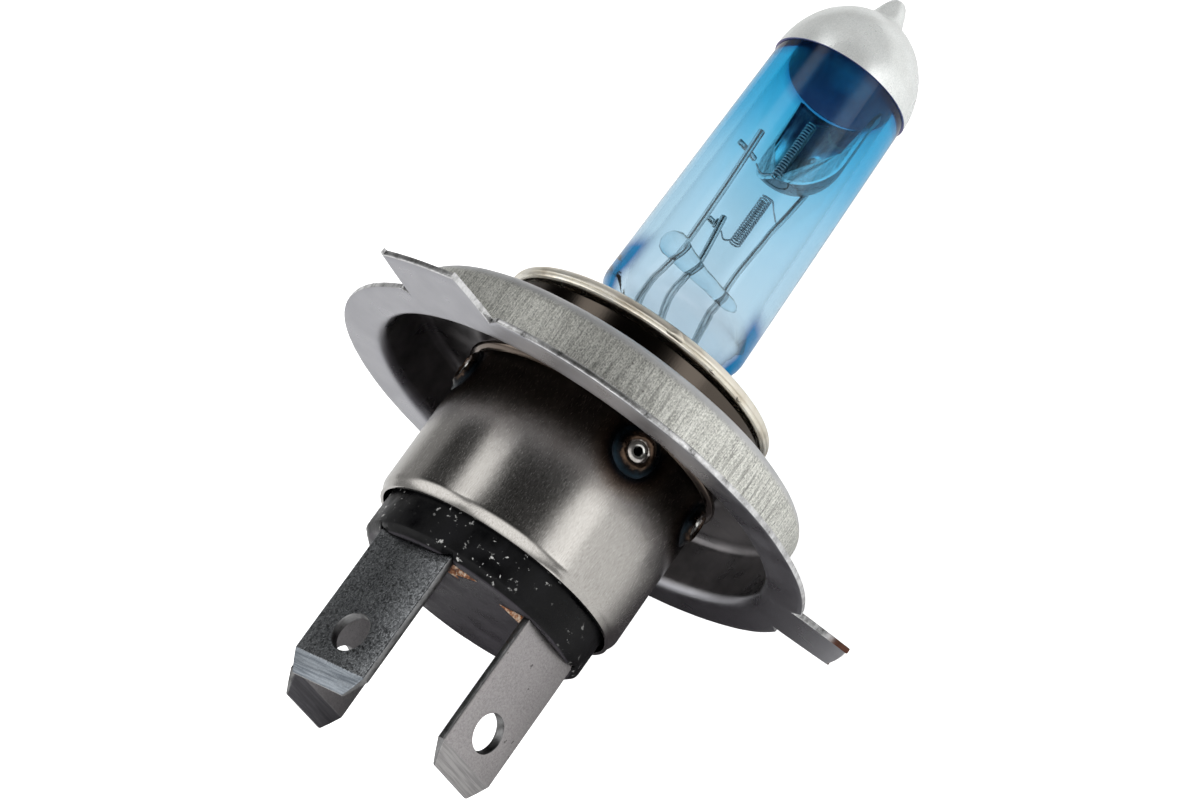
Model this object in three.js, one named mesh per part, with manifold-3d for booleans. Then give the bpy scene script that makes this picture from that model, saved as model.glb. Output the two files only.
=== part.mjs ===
// Halogen headlight bulb with a low-beam and a high-beam filament, on a three-lug flange base. Millimetres.
// +X is the lamp axis towards the glass tip, +Z is up in use, and x = 0 is the front face of the flange's
// brim and lugs, which seats in the headlamp. Angles round the axis start at +Z and turn towards -Y.
import * as THREE from 'three';
import { mergeVertices } from 'three/addons/utils/BufferGeometryUtils.js';
import Module from 'manifold-3d';

const wasm = await Module();
wasm.setup();

const GAP = 0.3;

// mounting flange
const SHEET = 0.5;
const BRIM_RADIUS = 21.5;
const LUG_RADIUS = 25.9;
const WIDE_LUG = { root: 8.5, tip: 7.5 };
const NARROW_LUG = { root: 6.4, tip: 5.6 };
const NARROW_LUG_ANGLE = 135;
const NOTCH = { depth: 0.7, width: 0.9 };
const CROWN_RADIUS = 18.2;
const CROWN_TOP = 5.2;
const CROWN_FILLET = 1.4;
const NECK_RADIUS = 11.9;
const NECK_TOP = 8.2;

// base barrel and insulator
const BARREL_RADIUS = 10.9;
const BARREL_WALL = 0.4;
const BARREL_BACK = -11.1;
const BARREL_FRONT = 8.0;
const BEAD = { back: 1.9, front: 3.0, radius: 11.5 };
const INSULATOR_RADIUS = 9.95;
const INSULATOR_BACK = -14.5;
const INSULATOR_FRONT = -8.5;
const INSULATOR_CHAMFER = 0.6;

// weld eyelets round the barrel
const EYELET = { x: 0.4, radius: 1.6, height: 0.6, hole: 0.4 };
const EYELET_ANGLES = [62, 116, 242, 323];

// blade terminals
const BLADE = { thick: 0.8, tip: -27.4, shoulder: -9.6, holeX: -22.8, holeRadius: 1.6, cut: [1.8, 1.0] };
const ROOT_THICK = 0.6;
const TANG = { front: -6.6, width: 3.0 };
const SLOT_GAP = 0.1;
const TOP_BLADE = { width: 7.7, offset: 8.4, shift: 0 };
const SIDE_BLADE = { width: 7.2, offset: 8.3, shift: -0.6 };

// focusing collar and pinch clip
const COLLAR = { radius: 12.15, back: 8.5, front: 9.8, mouth: 7.9, wall: 0.5 };
const SLEEVE = { radius: 10.2, back: 3.0, wall: 0.4 };
const CLIP = { x: 5.6, radius: 9.4, wall: 0.4, cheekBack: -2.6, rimFront: 7.6 };

// burner: glass envelope, press seal and end coating
const TUBE_BACK = 14;
const TUBE_RADIUS = 6.55;
const TUBE_WALL = 0.95;
const CAP_BACK = 38.5;
const CAP_RADIUS = 6.2;
const COAT = 0.16;
const COAT_GAP = 0.06;
const DOME_LENGTH = 7.1;
const PIP = { radius: 0.85, back: 45.9, tip: 47.9 };
const PINCH = { back: -4, front: 10, width: 10.6, thick: 3.4 };
const PINCH_TURN = THREE.MathUtils.degToRad(-17);
const CAVITY_BACK = 12.8;

// wires; p is measured across the flat pinch from the lamp axis, q is measured through its thickness
const WIRE = 0.6;
const LEAD = 0.8;
const LEAD_P = { low: 3.2, high: 0.3, common: -2.75 };
const FOIL = { back: 0.6, front: 6.6, width: 1.8, thick: 0.15 };
const CHANNEL = { width: 2.4, thick: 1.4 };
const BRIDGE = { x: 18.2, radius: 1.1, low: -4.6, high: 5.1 };
const PIN = { diameter: 0.5, q: 0.7 };

// filaments and shield
const FILAMENT = 0.13;
const LOW_COIL = { back: 29.1, front: 34.6, radius: 0.42, turns: 20, p: 0, q: 0 };
const HIGH_COIL = { back: 22.9, front: 27.3, radius: 0.5, turns: 13, p: -0.6, q: 0.1 };
const SHIELD = { radius: 4.5, wall: 0.3, back: 27.9, front: 37.6, fillet: 2.2, rims: [98, 252] };

const bulb = new THREE.Group();
const burner = new THREE.Group();
burner.rotation.x = PINCH_TURN;
bulb.add(burner);

const metal = (color, roughness) => new THREE.MeshStandardMaterial({ color, roughness, metalness: 1 });
const glass = (color, opacity) =>
  new THREE.MeshStandardMaterial({ color, roughness: 0.05, metalness: 0, transparent: true, opacity });
const flangeSteel = metal(0xb9b9b4, 0.42);
const nickel = metal(0xd8d2c2, 0.16);
const barrelSteel = metal(0x9a968e, 0.38);
const weldSteel = metal(0x5b5048, 0.45);
const bladeTin = metal(0x8d8d8b, 0.4);
const molybdenum = metal(0x7d8488, 0.35);
const tungsten = metal(0x4d4f52, 0.4);
const shieldMetal = metal(0x8e979c, 0.22);
const silverCoat = new THREE.MeshStandardMaterial({ color: 0xbfbfba, roughness: 0.5, metalness: 0.4 });
const blackPlastic = new THREE.MeshStandardMaterial({ color: 0x141414, roughness: 0.6, metalness: 0 });
const blueGlass = glass(0x8fc8ea, 0.4);
const clearGlass = glass(0xdcebf2, 0.5);

function addPart(name, geometry, material, group = bulb) {
  const mesh = new THREE.Mesh(geometry, material);
  mesh.name = name;
  group.add(mesh);
}

const atAngle = (geometry, degrees) => geometry.rotateX(THREE.MathUtils.degToRad(degrees));

// A point at x, p and q of the pinch, in the bulb's own frame.
function pinchPoint(x, p, q = 0) {
  return new THREE.Vector3(x, q, p).applyAxisAngle(new THREE.Vector3(1, 0, 0), PINCH_TURN);
}

// Points on a circle in the (x, radius) plane, from angle a to angle b in degrees.
function arc(x, radius, size, a, b, steps = 4) {
  return Array.from({ length: steps + 1 }, (_, i) => {
    const t = THREE.MathUtils.degToRad(a + ((b - a) * i) / steps);
    return [x + size * Math.cos(t), radius + size * Math.sin(t)];
  });
}

// Turns a profile of [x, radius] points round the lamp axis.
function revolve(profile, segments = 48) {
  const points = profile.map(([x, radius]) => new THREE.Vector2(radius, x));
  return new THREE.LatheGeometry(points, segments).rotateZ(-Math.PI / 2);
}

const revolveRing = (profile, segments) => revolve([...profile, profile[0]], segments);

function toSolid(geometry) {
  const bare = geometry.clone();
  bare.deleteAttribute('normal');
  bare.deleteAttribute('uv');
  const merged = mergeVertices(bare, 1e-4);
  return new wasm.Manifold(new wasm.Mesh({
    numProp: 3,
    vertProperties: new Float32Array(merged.attributes.position.array),
    triVerts: new Uint32Array(merged.index.array),
  }));
}

function toGeometry(solid) {
  const mesh = solid.getMesh();
  const geometry = new THREE.BufferGeometry();
  geometry.setAttribute('position', new THREE.BufferAttribute(mesh.vertProperties, 3));
  geometry.setIndex(new THREE.BufferAttribute(mesh.triVerts, 1));
  geometry.computeVertexNormals();
  return geometry;
}

const join = (base, extras) => extras.reduce((sum, extra) => sum.add(toSolid(extra)), toSolid(base));
const cut = (solid, tools) => tools.reduce((rest, tool) => rest.subtract(toSolid(tool)), solid);

// A box from its lowest and highest corners.
function box([x0, y0, z0], [x1, y1, z1]) {
  return new THREE.BoxGeometry(x1 - x0, y1 - y0, z1 - z0)
    .translate((x0 + x1) / 2, (y0 + y1) / 2, (z0 + z1) / 2);
}

// A round wire along a curve through points.
function wire(points, diameter, steps, sides = 8) {
  const ring = Array.from({ length: sides }, (_, i) => {
    const t = (2 * Math.PI * i) / sides;
    return new THREE.Vector2(Math.cos(t), Math.sin(t)).multiplyScalar(diameter / 2);
  });
  return new THREE.ExtrudeGeometry(new THREE.Shape(ring), {
    steps,
    bevelEnabled: false,
    extrudePath: new THREE.CatmullRomCurve3(points, false, 'centripetal'),
  });
}

// ---- mounting flange ----------------------------------------------------------------------------------

// A plate between two x planes, its outline given across and outwards from the axis, turned to an angle.
function plate(outline, degrees, back, front) {
  const shape = new THREE.Shape(outline.map(([across, out]) => new THREE.Vector2(across, out)));
  const axes = new THREE.Matrix4().makeBasis(
    new THREE.Vector3(0, 1, 0), new THREE.Vector3(0, 0, 1), new THREE.Vector3(1, 0, 0));
  const slab = new THREE.ExtrudeGeometry(shape, { depth: front - back, bevelEnabled: false });
  return atAngle(slab.applyMatrix4(axes).translate(back, 0, 0), degrees);
}

function lug({ root, tip }, degrees) {
  const tipHalf = Math.asin(tip / 2 / LUG_RADIUS);
  const end = [1, 0.5, 0, -0.5, -1].map((part) =>
    [LUG_RADIUS * Math.sin(part * tipHalf), LUG_RADIUS * Math.cos(part * tipHalf)]);
  const inner = CROWN_RADIUS + 1;
  return plate([[-root / 2, inner], [root / 2, inner], ...end], degrees, -SHEET, 0);
}

// The small V cut on one side of a lug's root.
function lugNotch({ root }, degrees, side) {
  const foot = (side * root) / 2;
  const outline = [
    [foot, BRIM_RADIUS - NOTCH.depth],
    [foot + side * NOTCH.width, BRIM_RADIUS + GAP],
    [foot + side * NOTCH.width * 0.1, BRIM_RADIUS + GAP],
  ];
  return plate(side > 0 ? outline : outline.reverse(), degrees, -1, 1);
}

function mountingFlange() {
  const inside = CROWN_RADIUS - SHEET;
  const under = CROWN_TOP - SHEET;
  const shell = revolveRing([
    [-SHEET, inside], [-SHEET, BRIM_RADIUS], [0, BRIM_RADIUS], [0, CROWN_RADIUS],
    ...arc(CROWN_TOP - CROWN_FILLET, CROWN_RADIUS - CROWN_FILLET, CROWN_FILLET, 90, 0),
    [CROWN_TOP, NECK_RADIUS], [NECK_TOP, NECK_RADIUS],
    [NECK_TOP, NECK_RADIUS - SHEET], [under, NECK_RADIUS - SHEET],
    ...arc(CROWN_TOP - CROWN_FILLET, CROWN_RADIUS - CROWN_FILLET, CROWN_FILLET - SHEET, 0, 90),
  ], 64);
  const lugs = [[WIDE_LUG, 0], [NARROW_LUG, NARROW_LUG_ANGLE], [NARROW_LUG, -NARROW_LUG_ANGLE]];
  const notches = lugs.flatMap(([kind, degrees]) => [1, -1].map((side) => lugNotch(kind, degrees, side)));
  return toGeometry(cut(join(shell, lugs.map(([kind, degrees]) => lug(kind, degrees))), notches));
}

addPart('mounting_flange', mountingFlange(), flangeSteel);

// ---- focusing collar and pinch clip -------------------------------------------------------------------

function focusingCollar() {
  const { radius, back, front, mouth, wall } = COLLAR;
  const round = 0.9;
  return revolveRing([
    [SLEEVE.back, SLEEVE.radius], [back, SLEEVE.radius], [back, radius - 0.1],
    ...arc(front - round, radius - round, round, 90, 0, 3),
    [front, mouth + wall], [front - wall, mouth], [front - 2.2, mouth], [front - 2.2, mouth + SLEEVE.wall],
    [front - wall, mouth + wall], [front - wall, SLEEVE.radius - SLEEVE.wall],
    [SLEEVE.back, SLEEVE.radius - SLEEVE.wall],
  ]);
}

function pinchClip() {
  const { x, radius, wall, cheekBack, rimFront } = CLIP;
  const halfThick = PINCH.thick / 2 + GAP;
  const halfWidth = PINCH.width / 2 + GAP;
  const cup = revolve([
    [x, 0], [x, radius], [rimFront, radius],
    [rimFront, radius - wall], [x + wall, radius - wall], [x + wall, 0],
  ], 36);
  const cheeks = [halfThick, -halfThick - wall].map((inner) =>
    box([cheekBack, inner, -halfWidth], [x + wall / 2, inner + wall, halfWidth]));
  const window = box([x - 1, -halfThick, -halfWidth], [x + 1, halfThick, halfWidth]);
  return toGeometry(cut(join(cup, cheeks), [window]));
}

addPart('focusing_collar', focusingCollar(), nickel);
addPart('pinch_clip', pinchClip(), nickel, burner);

// ---- base barrel, weld eyelets and insulator ----------------------------------------------------------

function baseBarrel() {
  const inside = BARREL_RADIUS - BARREL_WALL;
  const curl = BARREL_BACK + 0.5;
  return revolveRing([
    [BARREL_BACK, BARREL_RADIUS - 0.4], [curl, BARREL_RADIUS],
    [BEAD.back, BARREL_RADIUS], [BEAD.back + 0.3, BEAD.radius], [BEAD.front - 0.3, BEAD.radius],
    [BEAD.front, BARREL_RADIUS], [BARREL_FRONT, BARREL_RADIUS],
    [BARREL_FRONT, inside], [curl, inside], [BARREL_BACK, inside - 0.25],
  ]);
}

function weldEyelet(degrees) {
  const { x, radius, height, hole } = EYELET;
  const foot = BARREL_RADIUS + GAP;
  const profile = [
    [radius, 0], [radius, 0.3], [0.8, height], [hole, height - 0.15], [hole, 0], [radius, 0],
  ];
  const ring = new THREE.LatheGeometry(profile.map(([r, h]) => new THREE.Vector2(r, h)), 16);
  return atAngle(ring.rotateX(Math.PI / 2).translate(x, 0, foot), degrees);
}

function insulatorDisc() {
  const disc = revolve([
    [INSULATOR_BACK, 0], [INSULATOR_BACK, INSULATOR_RADIUS - INSULATOR_CHAMFER],
    [INSULATOR_BACK + INSULATOR_CHAMFER, INSULATOR_RADIUS], [INSULATOR_FRONT, INSULATOR_RADIUS],
    [INSULATOR_FRONT, 0],
  ]);
  const slots = TERMINALS.map(({ blade, degrees }) =>
    plate(slotOutline(blade, degrees), degrees, INSULATOR_BACK - 1, INSULATOR_FRONT + 1));
  return toGeometry(cut(toSolid(disc), slots));
}

addPart('base_barrel', baseBarrel(), barrelSteel);
EYELET_ANGLES.forEach((degrees, i) => addPart(`weld_eyelet_${i + 1}`, weldEyelet(degrees), weldSteel));

// ---- blade terminals ----------------------------------------------------------------------------------

const TERMINALS = [
  { name: 'terminal_top', blade: TOP_BLADE, degrees: 0 },
  { name: 'terminal_right', blade: SIDE_BLADE, degrees: 90 },
  { name: 'terminal_left', blade: SIDE_BLADE, degrees: -90 },
];

// How far a blade's middle lies along its own across direction, which is +Y turned by its angle.
const bladeAcross = (blade, degrees) => blade.shift * Math.sin(THREE.MathUtils.degToRad(degrees));

function slotOutline(blade, degrees) {
  const middle = bladeAcross(blade, degrees);
  const half = blade.width / 2 + SLOT_GAP;
  const inner = blade.offset - BLADE.thick / 2 - SLOT_GAP;
  const outer = blade.offset + BLADE.thick / 2 + SLOT_GAP;
  return [[middle - half, inner], [middle + half, inner], [middle + half, outer], [middle - half, outer]];
}

// A flat sheet centred on a blade's plane, its outline given as [x, across] points.
function bladeSheet(outline, thick, { blade, degrees }, holes = []) {
  const shape = new THREE.Shape(outline.map(([x, across]) => new THREE.Vector2(x, across)));
  shape.holes.push(...holes);
  const sheet = new THREE.ExtrudeGeometry(
    shape, { depth: thick, bevelEnabled: false, curveSegments: 10 });
  return atAngle(sheet.translate(0, bladeAcross(blade, degrees), blade.offset - thick / 2), degrees);
}

// The bare blade, and the thinner root and tang that hold it in the insulator.
function bladeTerminal(terminal) {
  const half = terminal.blade.width / 2;
  const tang = TANG.width / 2;
  const [cutLength, cutWidth] = BLADE.cut;
  const bare = [
    [BLADE.tip, -half + cutWidth], [BLADE.tip + cutLength, -half], [INSULATOR_BACK, -half],
    [INSULATOR_BACK, half], [BLADE.tip + cutLength, half], [BLADE.tip, half - cutWidth],
  ];
  const root = [
    [INSULATOR_BACK - 1, -half], [BLADE.shoulder, -half], [BLADE.shoulder, -tang], [TANG.front, -tang],
    [TANG.front, tang], [BLADE.shoulder, tang], [BLADE.shoulder, half], [INSULATOR_BACK - 1, half],
  ];
  const hole = new THREE.Path().absarc(BLADE.holeX, 0, BLADE.holeRadius, 0, 2 * Math.PI, true);
  return toGeometry(join(
    bladeSheet(bare, BLADE.thick, terminal, [hole]), [bladeSheet(root, ROOT_THICK, terminal)]));
}

TERMINALS.forEach((terminal) => addPart(terminal.name, bladeTerminal(terminal), bladeTin));
addPart('insulator_disc', insulatorDisc(), blackPlastic);

// ---- glass envelope and end coating -------------------------------------------------------------------

// The dome and exhaust pip, set in by an inset, as [x, radius] points from the tube to the tip.
function domeProfile(inset) {
  const dome = [0, 18, 36, 52, 66, 76].map((degrees) => {
    const t = THREE.MathUtils.degToRad(degrees);
    return [CAP_BACK + (DOME_LENGTH - inset) * Math.sin(t), (CAP_RADIUS - inset) * Math.cos(t)];
  });
  const pip = PIP.radius - inset;
  return [
    ...dome, [PIP.back, pip], [PIP.tip - 0.8, pip * 0.85],
    [PIP.tip - 0.25 - inset, pip * 0.45], [PIP.tip - inset, 0],
  ];
}

// Half width, half thickness and squareness of the glass outside at x, from the flat pinch to the tube.
function pinchSection(x) {
  const t = THREE.MathUtils.smoothstep(x, PINCH.front, TUBE_BACK);
  return {
    width: THREE.MathUtils.lerp(PINCH.width / 2, TUBE_RADIUS, t),
    thick: THREE.MathUtils.lerp(PINCH.thick / 2, TUBE_RADIUS, t),
    square: THREE.MathUtils.lerp(0.25, 1, t),
  };
}

// Skins a list of rings of equal length and closes both ends with a fan.
function loft(rings) {
  const count = rings[0].length;
  const middle = (ring) =>
    ring.reduce((sum, point) => sum.add(point), new THREE.Vector3()).divideScalar(count);
  const points = [...rings.flat(), middle(rings[0]), middle(rings.at(-1))];
  const first = rings.length * count;
  const index = [];
  for (let i = 0; i < count; i += 1) {
    const j = (i + 1) % count;
    for (let k = 0; k < rings.length - 1; k += 1) {
      const a = k * count;
      index.push(a + i, a + j, a + count + i, a + j, a + count + j, a + count + i);
    }
    index.push(first, j, i, first + 1, first - count + i, first - count + j);
  }
  const geometry = new THREE.BufferGeometry().setFromPoints(points);
  geometry.setIndex(index);
  geometry.computeVertexNormals();
  return geometry;
}

function glassOutside() {
  const sides = 40;
  const power = (value, exponent) => Math.sign(value) * Math.abs(value) ** exponent;
  const ring = (x, width, thick, square) => Array.from({ length: sides }, (_, i) => {
    const t = (2 * Math.PI * i) / sides;
    return new THREE.Vector3(x, thick * power(Math.cos(t), square), width * power(Math.sin(t), square));
  });
  const pinch = [PINCH.back, PINCH.front, 10.8, 11.6, 12.4, 13.2, TUBE_BACK].map((x) => {
    const { width, thick, square } = pinchSection(x);
    return ring(x, width, thick, square);
  });
  const dome = domeProfile(COAT + COAT_GAP).slice(0, -1).map(([x, radius]) => ring(x, radius, radius, 1));
  return loft([...pinch, ring(CAP_BACK - 0.1, CAP_RADIUS, CAP_RADIUS, 1), ...dome]);
}

function glassEnvelope() {
  const inner = CAP_RADIUS - COAT - TUBE_WALL;
  const cavity = revolve([
    [CAVITY_BACK, 0], [CAVITY_BACK + 0.4, 2.4], [TUBE_BACK + 0.4, 4.6],
    [TUBE_BACK + 1.8, TUBE_RADIUS - TUBE_WALL], [CAP_BACK, inner], [CAP_BACK + 2.6, inner * 0.9],
    [CAP_BACK + 4.6, inner * 0.65], [CAP_BACK + 5.8, 1.4], [CAP_BACK + 6.0, 0],
  ], 40);
  const channels = Object.values(LEAD_P).map((p) => box(
    [PINCH.back - 1, -CHANNEL.thick / 2, p - CHANNEL.width / 2],
    [TUBE_BACK, CHANNEL.thick / 2, p + CHANNEL.width / 2]));
  return toGeometry(cut(toSolid(glassOutside()), [cavity, ...channels]));
}

function endCap() {
  const inside = domeProfile(COAT).reverse();
  return revolve([...inside, ...domeProfile(0)], 40);
}

addPart('glass_envelope', glassEnvelope(), blueGlass, burner);
addPart('silver_end_cap', endCap(), silverCoat, burner);

// ---- foils, support wires, outer leads and bridge -----------------------------------------------------

const foil = (p) => box(
  [FOIL.back, -FOIL.thick / 2, p - FOIL.width / 2], [FOIL.front, FOIL.thick / 2, p + FOIL.width / 2]);

// Each support wire's route as [x, p], from its foil to its free end.
const SUPPORTS = {
  low: [[FOIL.front + GAP, 3.2], [12, 3.2], [14.5, 3.25], [17, 3.3], [19.4, 3.3], [25, 3.4], [30.8, 3.65]],
  high: [[FOIL.front + GAP, 0.3], [11.5, 0.4], [14, 0.95], [16.6, 1.25], [19.4, 1.25], [23.4, 1.85]],
  common: [
    [FOIL.front + GAP, -2.75], [12, -2.75], [15, -2.65], [17, -2.6], [19.4, -2.55], [21.4, -2.6],
    [24, -2.85], [25.8, -2.9], [SHIELD.back - GAP, -2.9],
  ],
};

const supportWire = (route, diameter = WIRE) =>
  wire(route.map(([x, p]) => new THREE.Vector3(x, 0, p)), diameter, 14);

// An outer lead from its foil, out of the pinch and across to a terminal's tang.
function outerLead(p, { blade, degrees }) {
  const reach = blade.offset - BLADE.thick / 2 - GAP - LEAD / 2;
  const tang = (x, out) => new THREE.Vector3(x, bladeAcross(blade, degrees), out)
    .applyAxisAngle(new THREE.Vector3(1, 0, 0), THREE.MathUtils.degToRad(degrees));
  return wire([
    pinchPoint(FOIL.back - GAP, p), pinchPoint(PINCH.back, p), tang(PINCH.back - 2, reach * 0.75),
    tang(TANG.front - 0.2, reach), tang(TANG.front - 1.6, reach),
  ], LEAD, 14);
}

function quartzBridge() {
  const { x, radius, low, high } = BRIDGE;
  const ends = (p, side) => [1, 0.85, 0.5].map((part) =>
    new THREE.Vector2(radius * part, p - side * radius * (1 - Math.sqrt(1 - part * part))));
  const profile = [
    new THREE.Vector2(0, low), ...ends(low + radius, 1).reverse(), ...ends(high - radius, -1),
    new THREE.Vector2(0, high),
  ];
  const rod = new THREE.LatheGeometry(profile, 16).rotateX(Math.PI / 2).translate(x, 0, 0);
  const holes = Object.values(SUPPORTS).map((route) => supportWire(route, WIRE + GAP));
  return toGeometry(cut(toSolid(rod), holes));
}

const OUTER_ENDS = { low: TERMINALS[0], high: TERMINALS[1], common: TERMINALS[2] };
for (const [circuit, p] of Object.entries(LEAD_P)) {
  addPart(`${circuit}_foil`, foil(p), molybdenum, burner);
  addPart(`${circuit}_wire`, supportWire(SUPPORTS[circuit]), molybdenum, burner);
  addPart(`${circuit}_lead`, outerLead(p, OUTER_ENDS[circuit]), molybdenum);
}
addPart('quartz_bridge', quartzBridge(), clearGlass, burner);

// ---- filaments, cross pins and shield -----------------------------------------------------------------

// A coil with a leg at each end; the legs are lists of points in the burner's frame.
function filament({ back, front, radius, turns, p, q }, backLeg, frontLeg) {
  const perTurn = 7;
  const coil = Array.from({ length: turns * perTurn + 1 }, (_, i) => {
    const t = (2 * Math.PI * i) / perTurn;
    const x = back + ((front - back) * i) / (turns * perTurn);
    return new THREE.Vector3(x, q + radius * Math.sin(t), p + radius * Math.cos(t));
  });
  const points = [...backLeg, ...coil, ...frontLeg];
  return wire(points, FILAMENT, points.length + 8, 4);
}

// A stub laid across a support wire, from one p to another.
const crossPin = (x, from, to) => wire(
  [new THREE.Vector3(x, PIN.q, from), new THREE.Vector3(x, PIN.q, to)], PIN.diameter, 1);

function lowBeamShield() {
  const { radius, wall, back, front, fillet, rims } = SHIELD;
  const cup = revolve([
    [back, 0], ...arc(back + fillet, radius - fillet, fillet, 180, 90), [front, radius],
    [front, radius - wall], ...arc(back + fillet, radius - fillet, fillet - wall, 90, 180),
    [back + wall, 0],
  ], 48);
  const reach = 4 * radius;
  const middle = (rims[0] + rims[1]) / 2;
  const edges = [-0.5, -0.25, 0, 0.25, 0.5].map((part) => middle + part * (rims[1] - rims[0]));
  const wedge = [[0, -0.6], ...edges.map((degrees) => {
    const t = THREE.MathUtils.degToRad(degrees);
    return [-reach * Math.sin(t), reach * Math.cos(t)];
  })];
  return toGeometry(toSolid(cup).intersect(toSolid(plate(wedge, 0, back - 1, front + 1))));
}

const at = (x, q, p) => new THREE.Vector3(x, q, p);
addPart('low_beam_filament', filament(
  LOW_COIL, [at(28.9, 0.6, 2.0), at(28.6, 0.4, 1.2)], [at(35.2, 0.5, -0.6), at(36.9, 2.3, -3.0)]),
tungsten, burner);
addPart('high_beam_filament', filament(
  HIGH_COIL, [at(22.7, 0.6, 0.95), at(22.3, 0.4, 0.4)], [at(27.55, 0.1, -1.1), at(27.1, 0.1, -2.25)]),
tungsten, burner);
addPart('low_beam_cross_pin', crossPin(29.1, 2.4, 4.4), molybdenum, burner);
addPart('high_beam_cross_pin', crossPin(22.7, 1.3, 2.6), molybdenum, burner);
addPart('low_beam_shield', lowBeamShield(), shieldMetal);

export default bulb;
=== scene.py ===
"""Looks of a halogen headlight bulb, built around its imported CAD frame.

Shapes are worked out in millimetres and stored in metres. +X is the lamp axis towards the glass tip, +Z is
up, and an angle round the axis starts at +Z and turns towards -Y.
"""
import math

import bmesh
import bpy
from mathutils import Matrix, Vector, noise


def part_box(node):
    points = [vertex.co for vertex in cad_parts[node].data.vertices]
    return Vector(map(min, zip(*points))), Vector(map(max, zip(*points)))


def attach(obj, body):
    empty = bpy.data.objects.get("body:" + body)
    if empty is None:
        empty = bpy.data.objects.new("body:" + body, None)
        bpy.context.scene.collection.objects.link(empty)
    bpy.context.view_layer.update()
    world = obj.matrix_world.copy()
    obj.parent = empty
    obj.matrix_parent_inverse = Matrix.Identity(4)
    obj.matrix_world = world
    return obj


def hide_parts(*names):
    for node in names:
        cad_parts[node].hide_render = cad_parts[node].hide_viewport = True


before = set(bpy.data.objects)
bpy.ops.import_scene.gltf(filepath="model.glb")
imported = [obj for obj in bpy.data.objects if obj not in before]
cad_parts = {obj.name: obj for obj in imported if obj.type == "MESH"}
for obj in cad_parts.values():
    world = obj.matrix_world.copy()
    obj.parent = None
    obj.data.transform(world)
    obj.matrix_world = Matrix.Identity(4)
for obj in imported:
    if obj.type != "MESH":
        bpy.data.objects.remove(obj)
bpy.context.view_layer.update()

MM = 0.001


def extent(node):
    """Lowest and highest corner of a CAD node, in millimetres."""
    low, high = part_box(node)
    return low / MM, high / MM


# ---- driving dimensions, from the frame ---------------------------------------------------------------

FLANGE_LOW, FLANGE_HIGH = extent("mounting_flange")
SHEET = -FLANGE_LOW.x
BRIM_RADIUS = FLANGE_HIGH.y
LUG_RADIUS = FLANGE_HIGH.z
NECK_TOP = FLANGE_HIGH.x
BARREL_LOW, BARREL_HIGH = extent("base_barrel")
BEAD_RADIUS = BARREL_HIGH.z
BARREL_RADIUS = BEAD_RADIUS - 0.6
COLLAR_LOW, COLLAR_HIGH = extent("focusing_collar")
INSULATOR_LOW, INSULATOR_HIGH = extent("insulator_disc")
CLIP_LOW, CLIP_HIGH = extent("pinch_clip")
GLASS_LOW, GLASS_HIGH = extent("glass_envelope")
CAP_LOW, CAP_HIGH = extent("silver_end_cap")
BLADE_LOW, BLADE_HIGH = extent("terminal_top")
BURNER_TURN = Matrix.Rotation(math.radians(-17), 3, "X")
EYELET_X = 0.4
EYELET_ANGLES = (62, 116, 242, 323)
WELD_ANGLE = 47
BURR_ANGLES = (66, 82)

# ---- camera, floor and light --------------------------------------------------------------------------

AIM = Vector((4.77, -0.2, 1.7)) * MM
CAMERA_DISTANCE = 285.9 * MM
CAMERA_AZIMUTH = math.radians(-24.4)
CAMERA_ELEVATION = math.radians(44.1)
CAMERA_ROLL = math.radians(36.8)
LENS = 110


def make_camera():
    level = math.cos(CAMERA_ELEVATION)
    view = Vector((-math.sin(CAMERA_AZIMUTH) * level, math.cos(CAMERA_AZIMUTH) * level,
                   -math.sin(CAMERA_ELEVATION)))
    camera = bpy.data.objects.new("camera", bpy.data.cameras.new("camera"))
    camera.data.lens = LENS
    camera.data.sensor_width = 36
    camera.data.clip_start = 0.01
    turn = view.to_track_quat("-Z", "Y").to_matrix() @ Matrix.Rotation(-CAMERA_ROLL, 3, "Z")
    camera.matrix_world = Matrix.Translation(AIM - view * CAMERA_DISTANCE) @ turn.to_4x4()
    bpy.context.scene.collection.objects.link(camera)
    bpy.context.scene.camera = camera


def direction(azimuth, elevation):
    """A direction from an azimuth counted from +X towards +Y, and an elevation, in degrees."""
    a, e = math.radians(azimuth), math.radians(elevation)
    return Vector((math.cos(a) * math.cos(e), math.sin(a) * math.cos(e), math.sin(e)))


# Soft panels and dark flags round the bulb: azimuth, elevation, inner and outer spread, brightness.
STUDIO = [
    (-76, 4, 12, 28, 1.4),
    (42, 68, 6, 17, 1.25),
    (-55, 58, 14, 38, -0.35),
    (66, 44, 10, 25, -0.34),
    (128, 38, 12, 37, 1.1),
    (215, 42, 14, 46, 1.1),
]
STUDIO_BASE = 0.36
# A white patch seen only through glass: azimuth, elevation, inner and outer spread.
BEHIND_GLASS = (75, 5, 45, 72)


def panel(tree, azimuth, elevation, inner, outer, strength):
    """A soft round patch of light: its strength within the inner spread, nothing past the outer."""
    coordinates = tree.nodes.new("ShaderNodeTexCoord")
    dot = tree.nodes.new("ShaderNodeVectorMath")
    dot.operation = "DOT_PRODUCT"
    dot.inputs[1].default_value = direction(azimuth, elevation)
    tree.links.new(coordinates.outputs["Generated"], dot.inputs[0])
    spread = tree.nodes.new("ShaderNodeMapRange")
    spread.interpolation_type = "SMOOTHERSTEP"
    spread.inputs["From Min"].default_value = math.cos(math.radians(outer))
    spread.inputs["From Max"].default_value = math.cos(math.radians(inner))
    spread.inputs["To Max"].default_value = strength
    tree.links.new(dot.outputs["Value"], spread.inputs["Value"])
    return spread.outputs["Result"]


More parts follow.
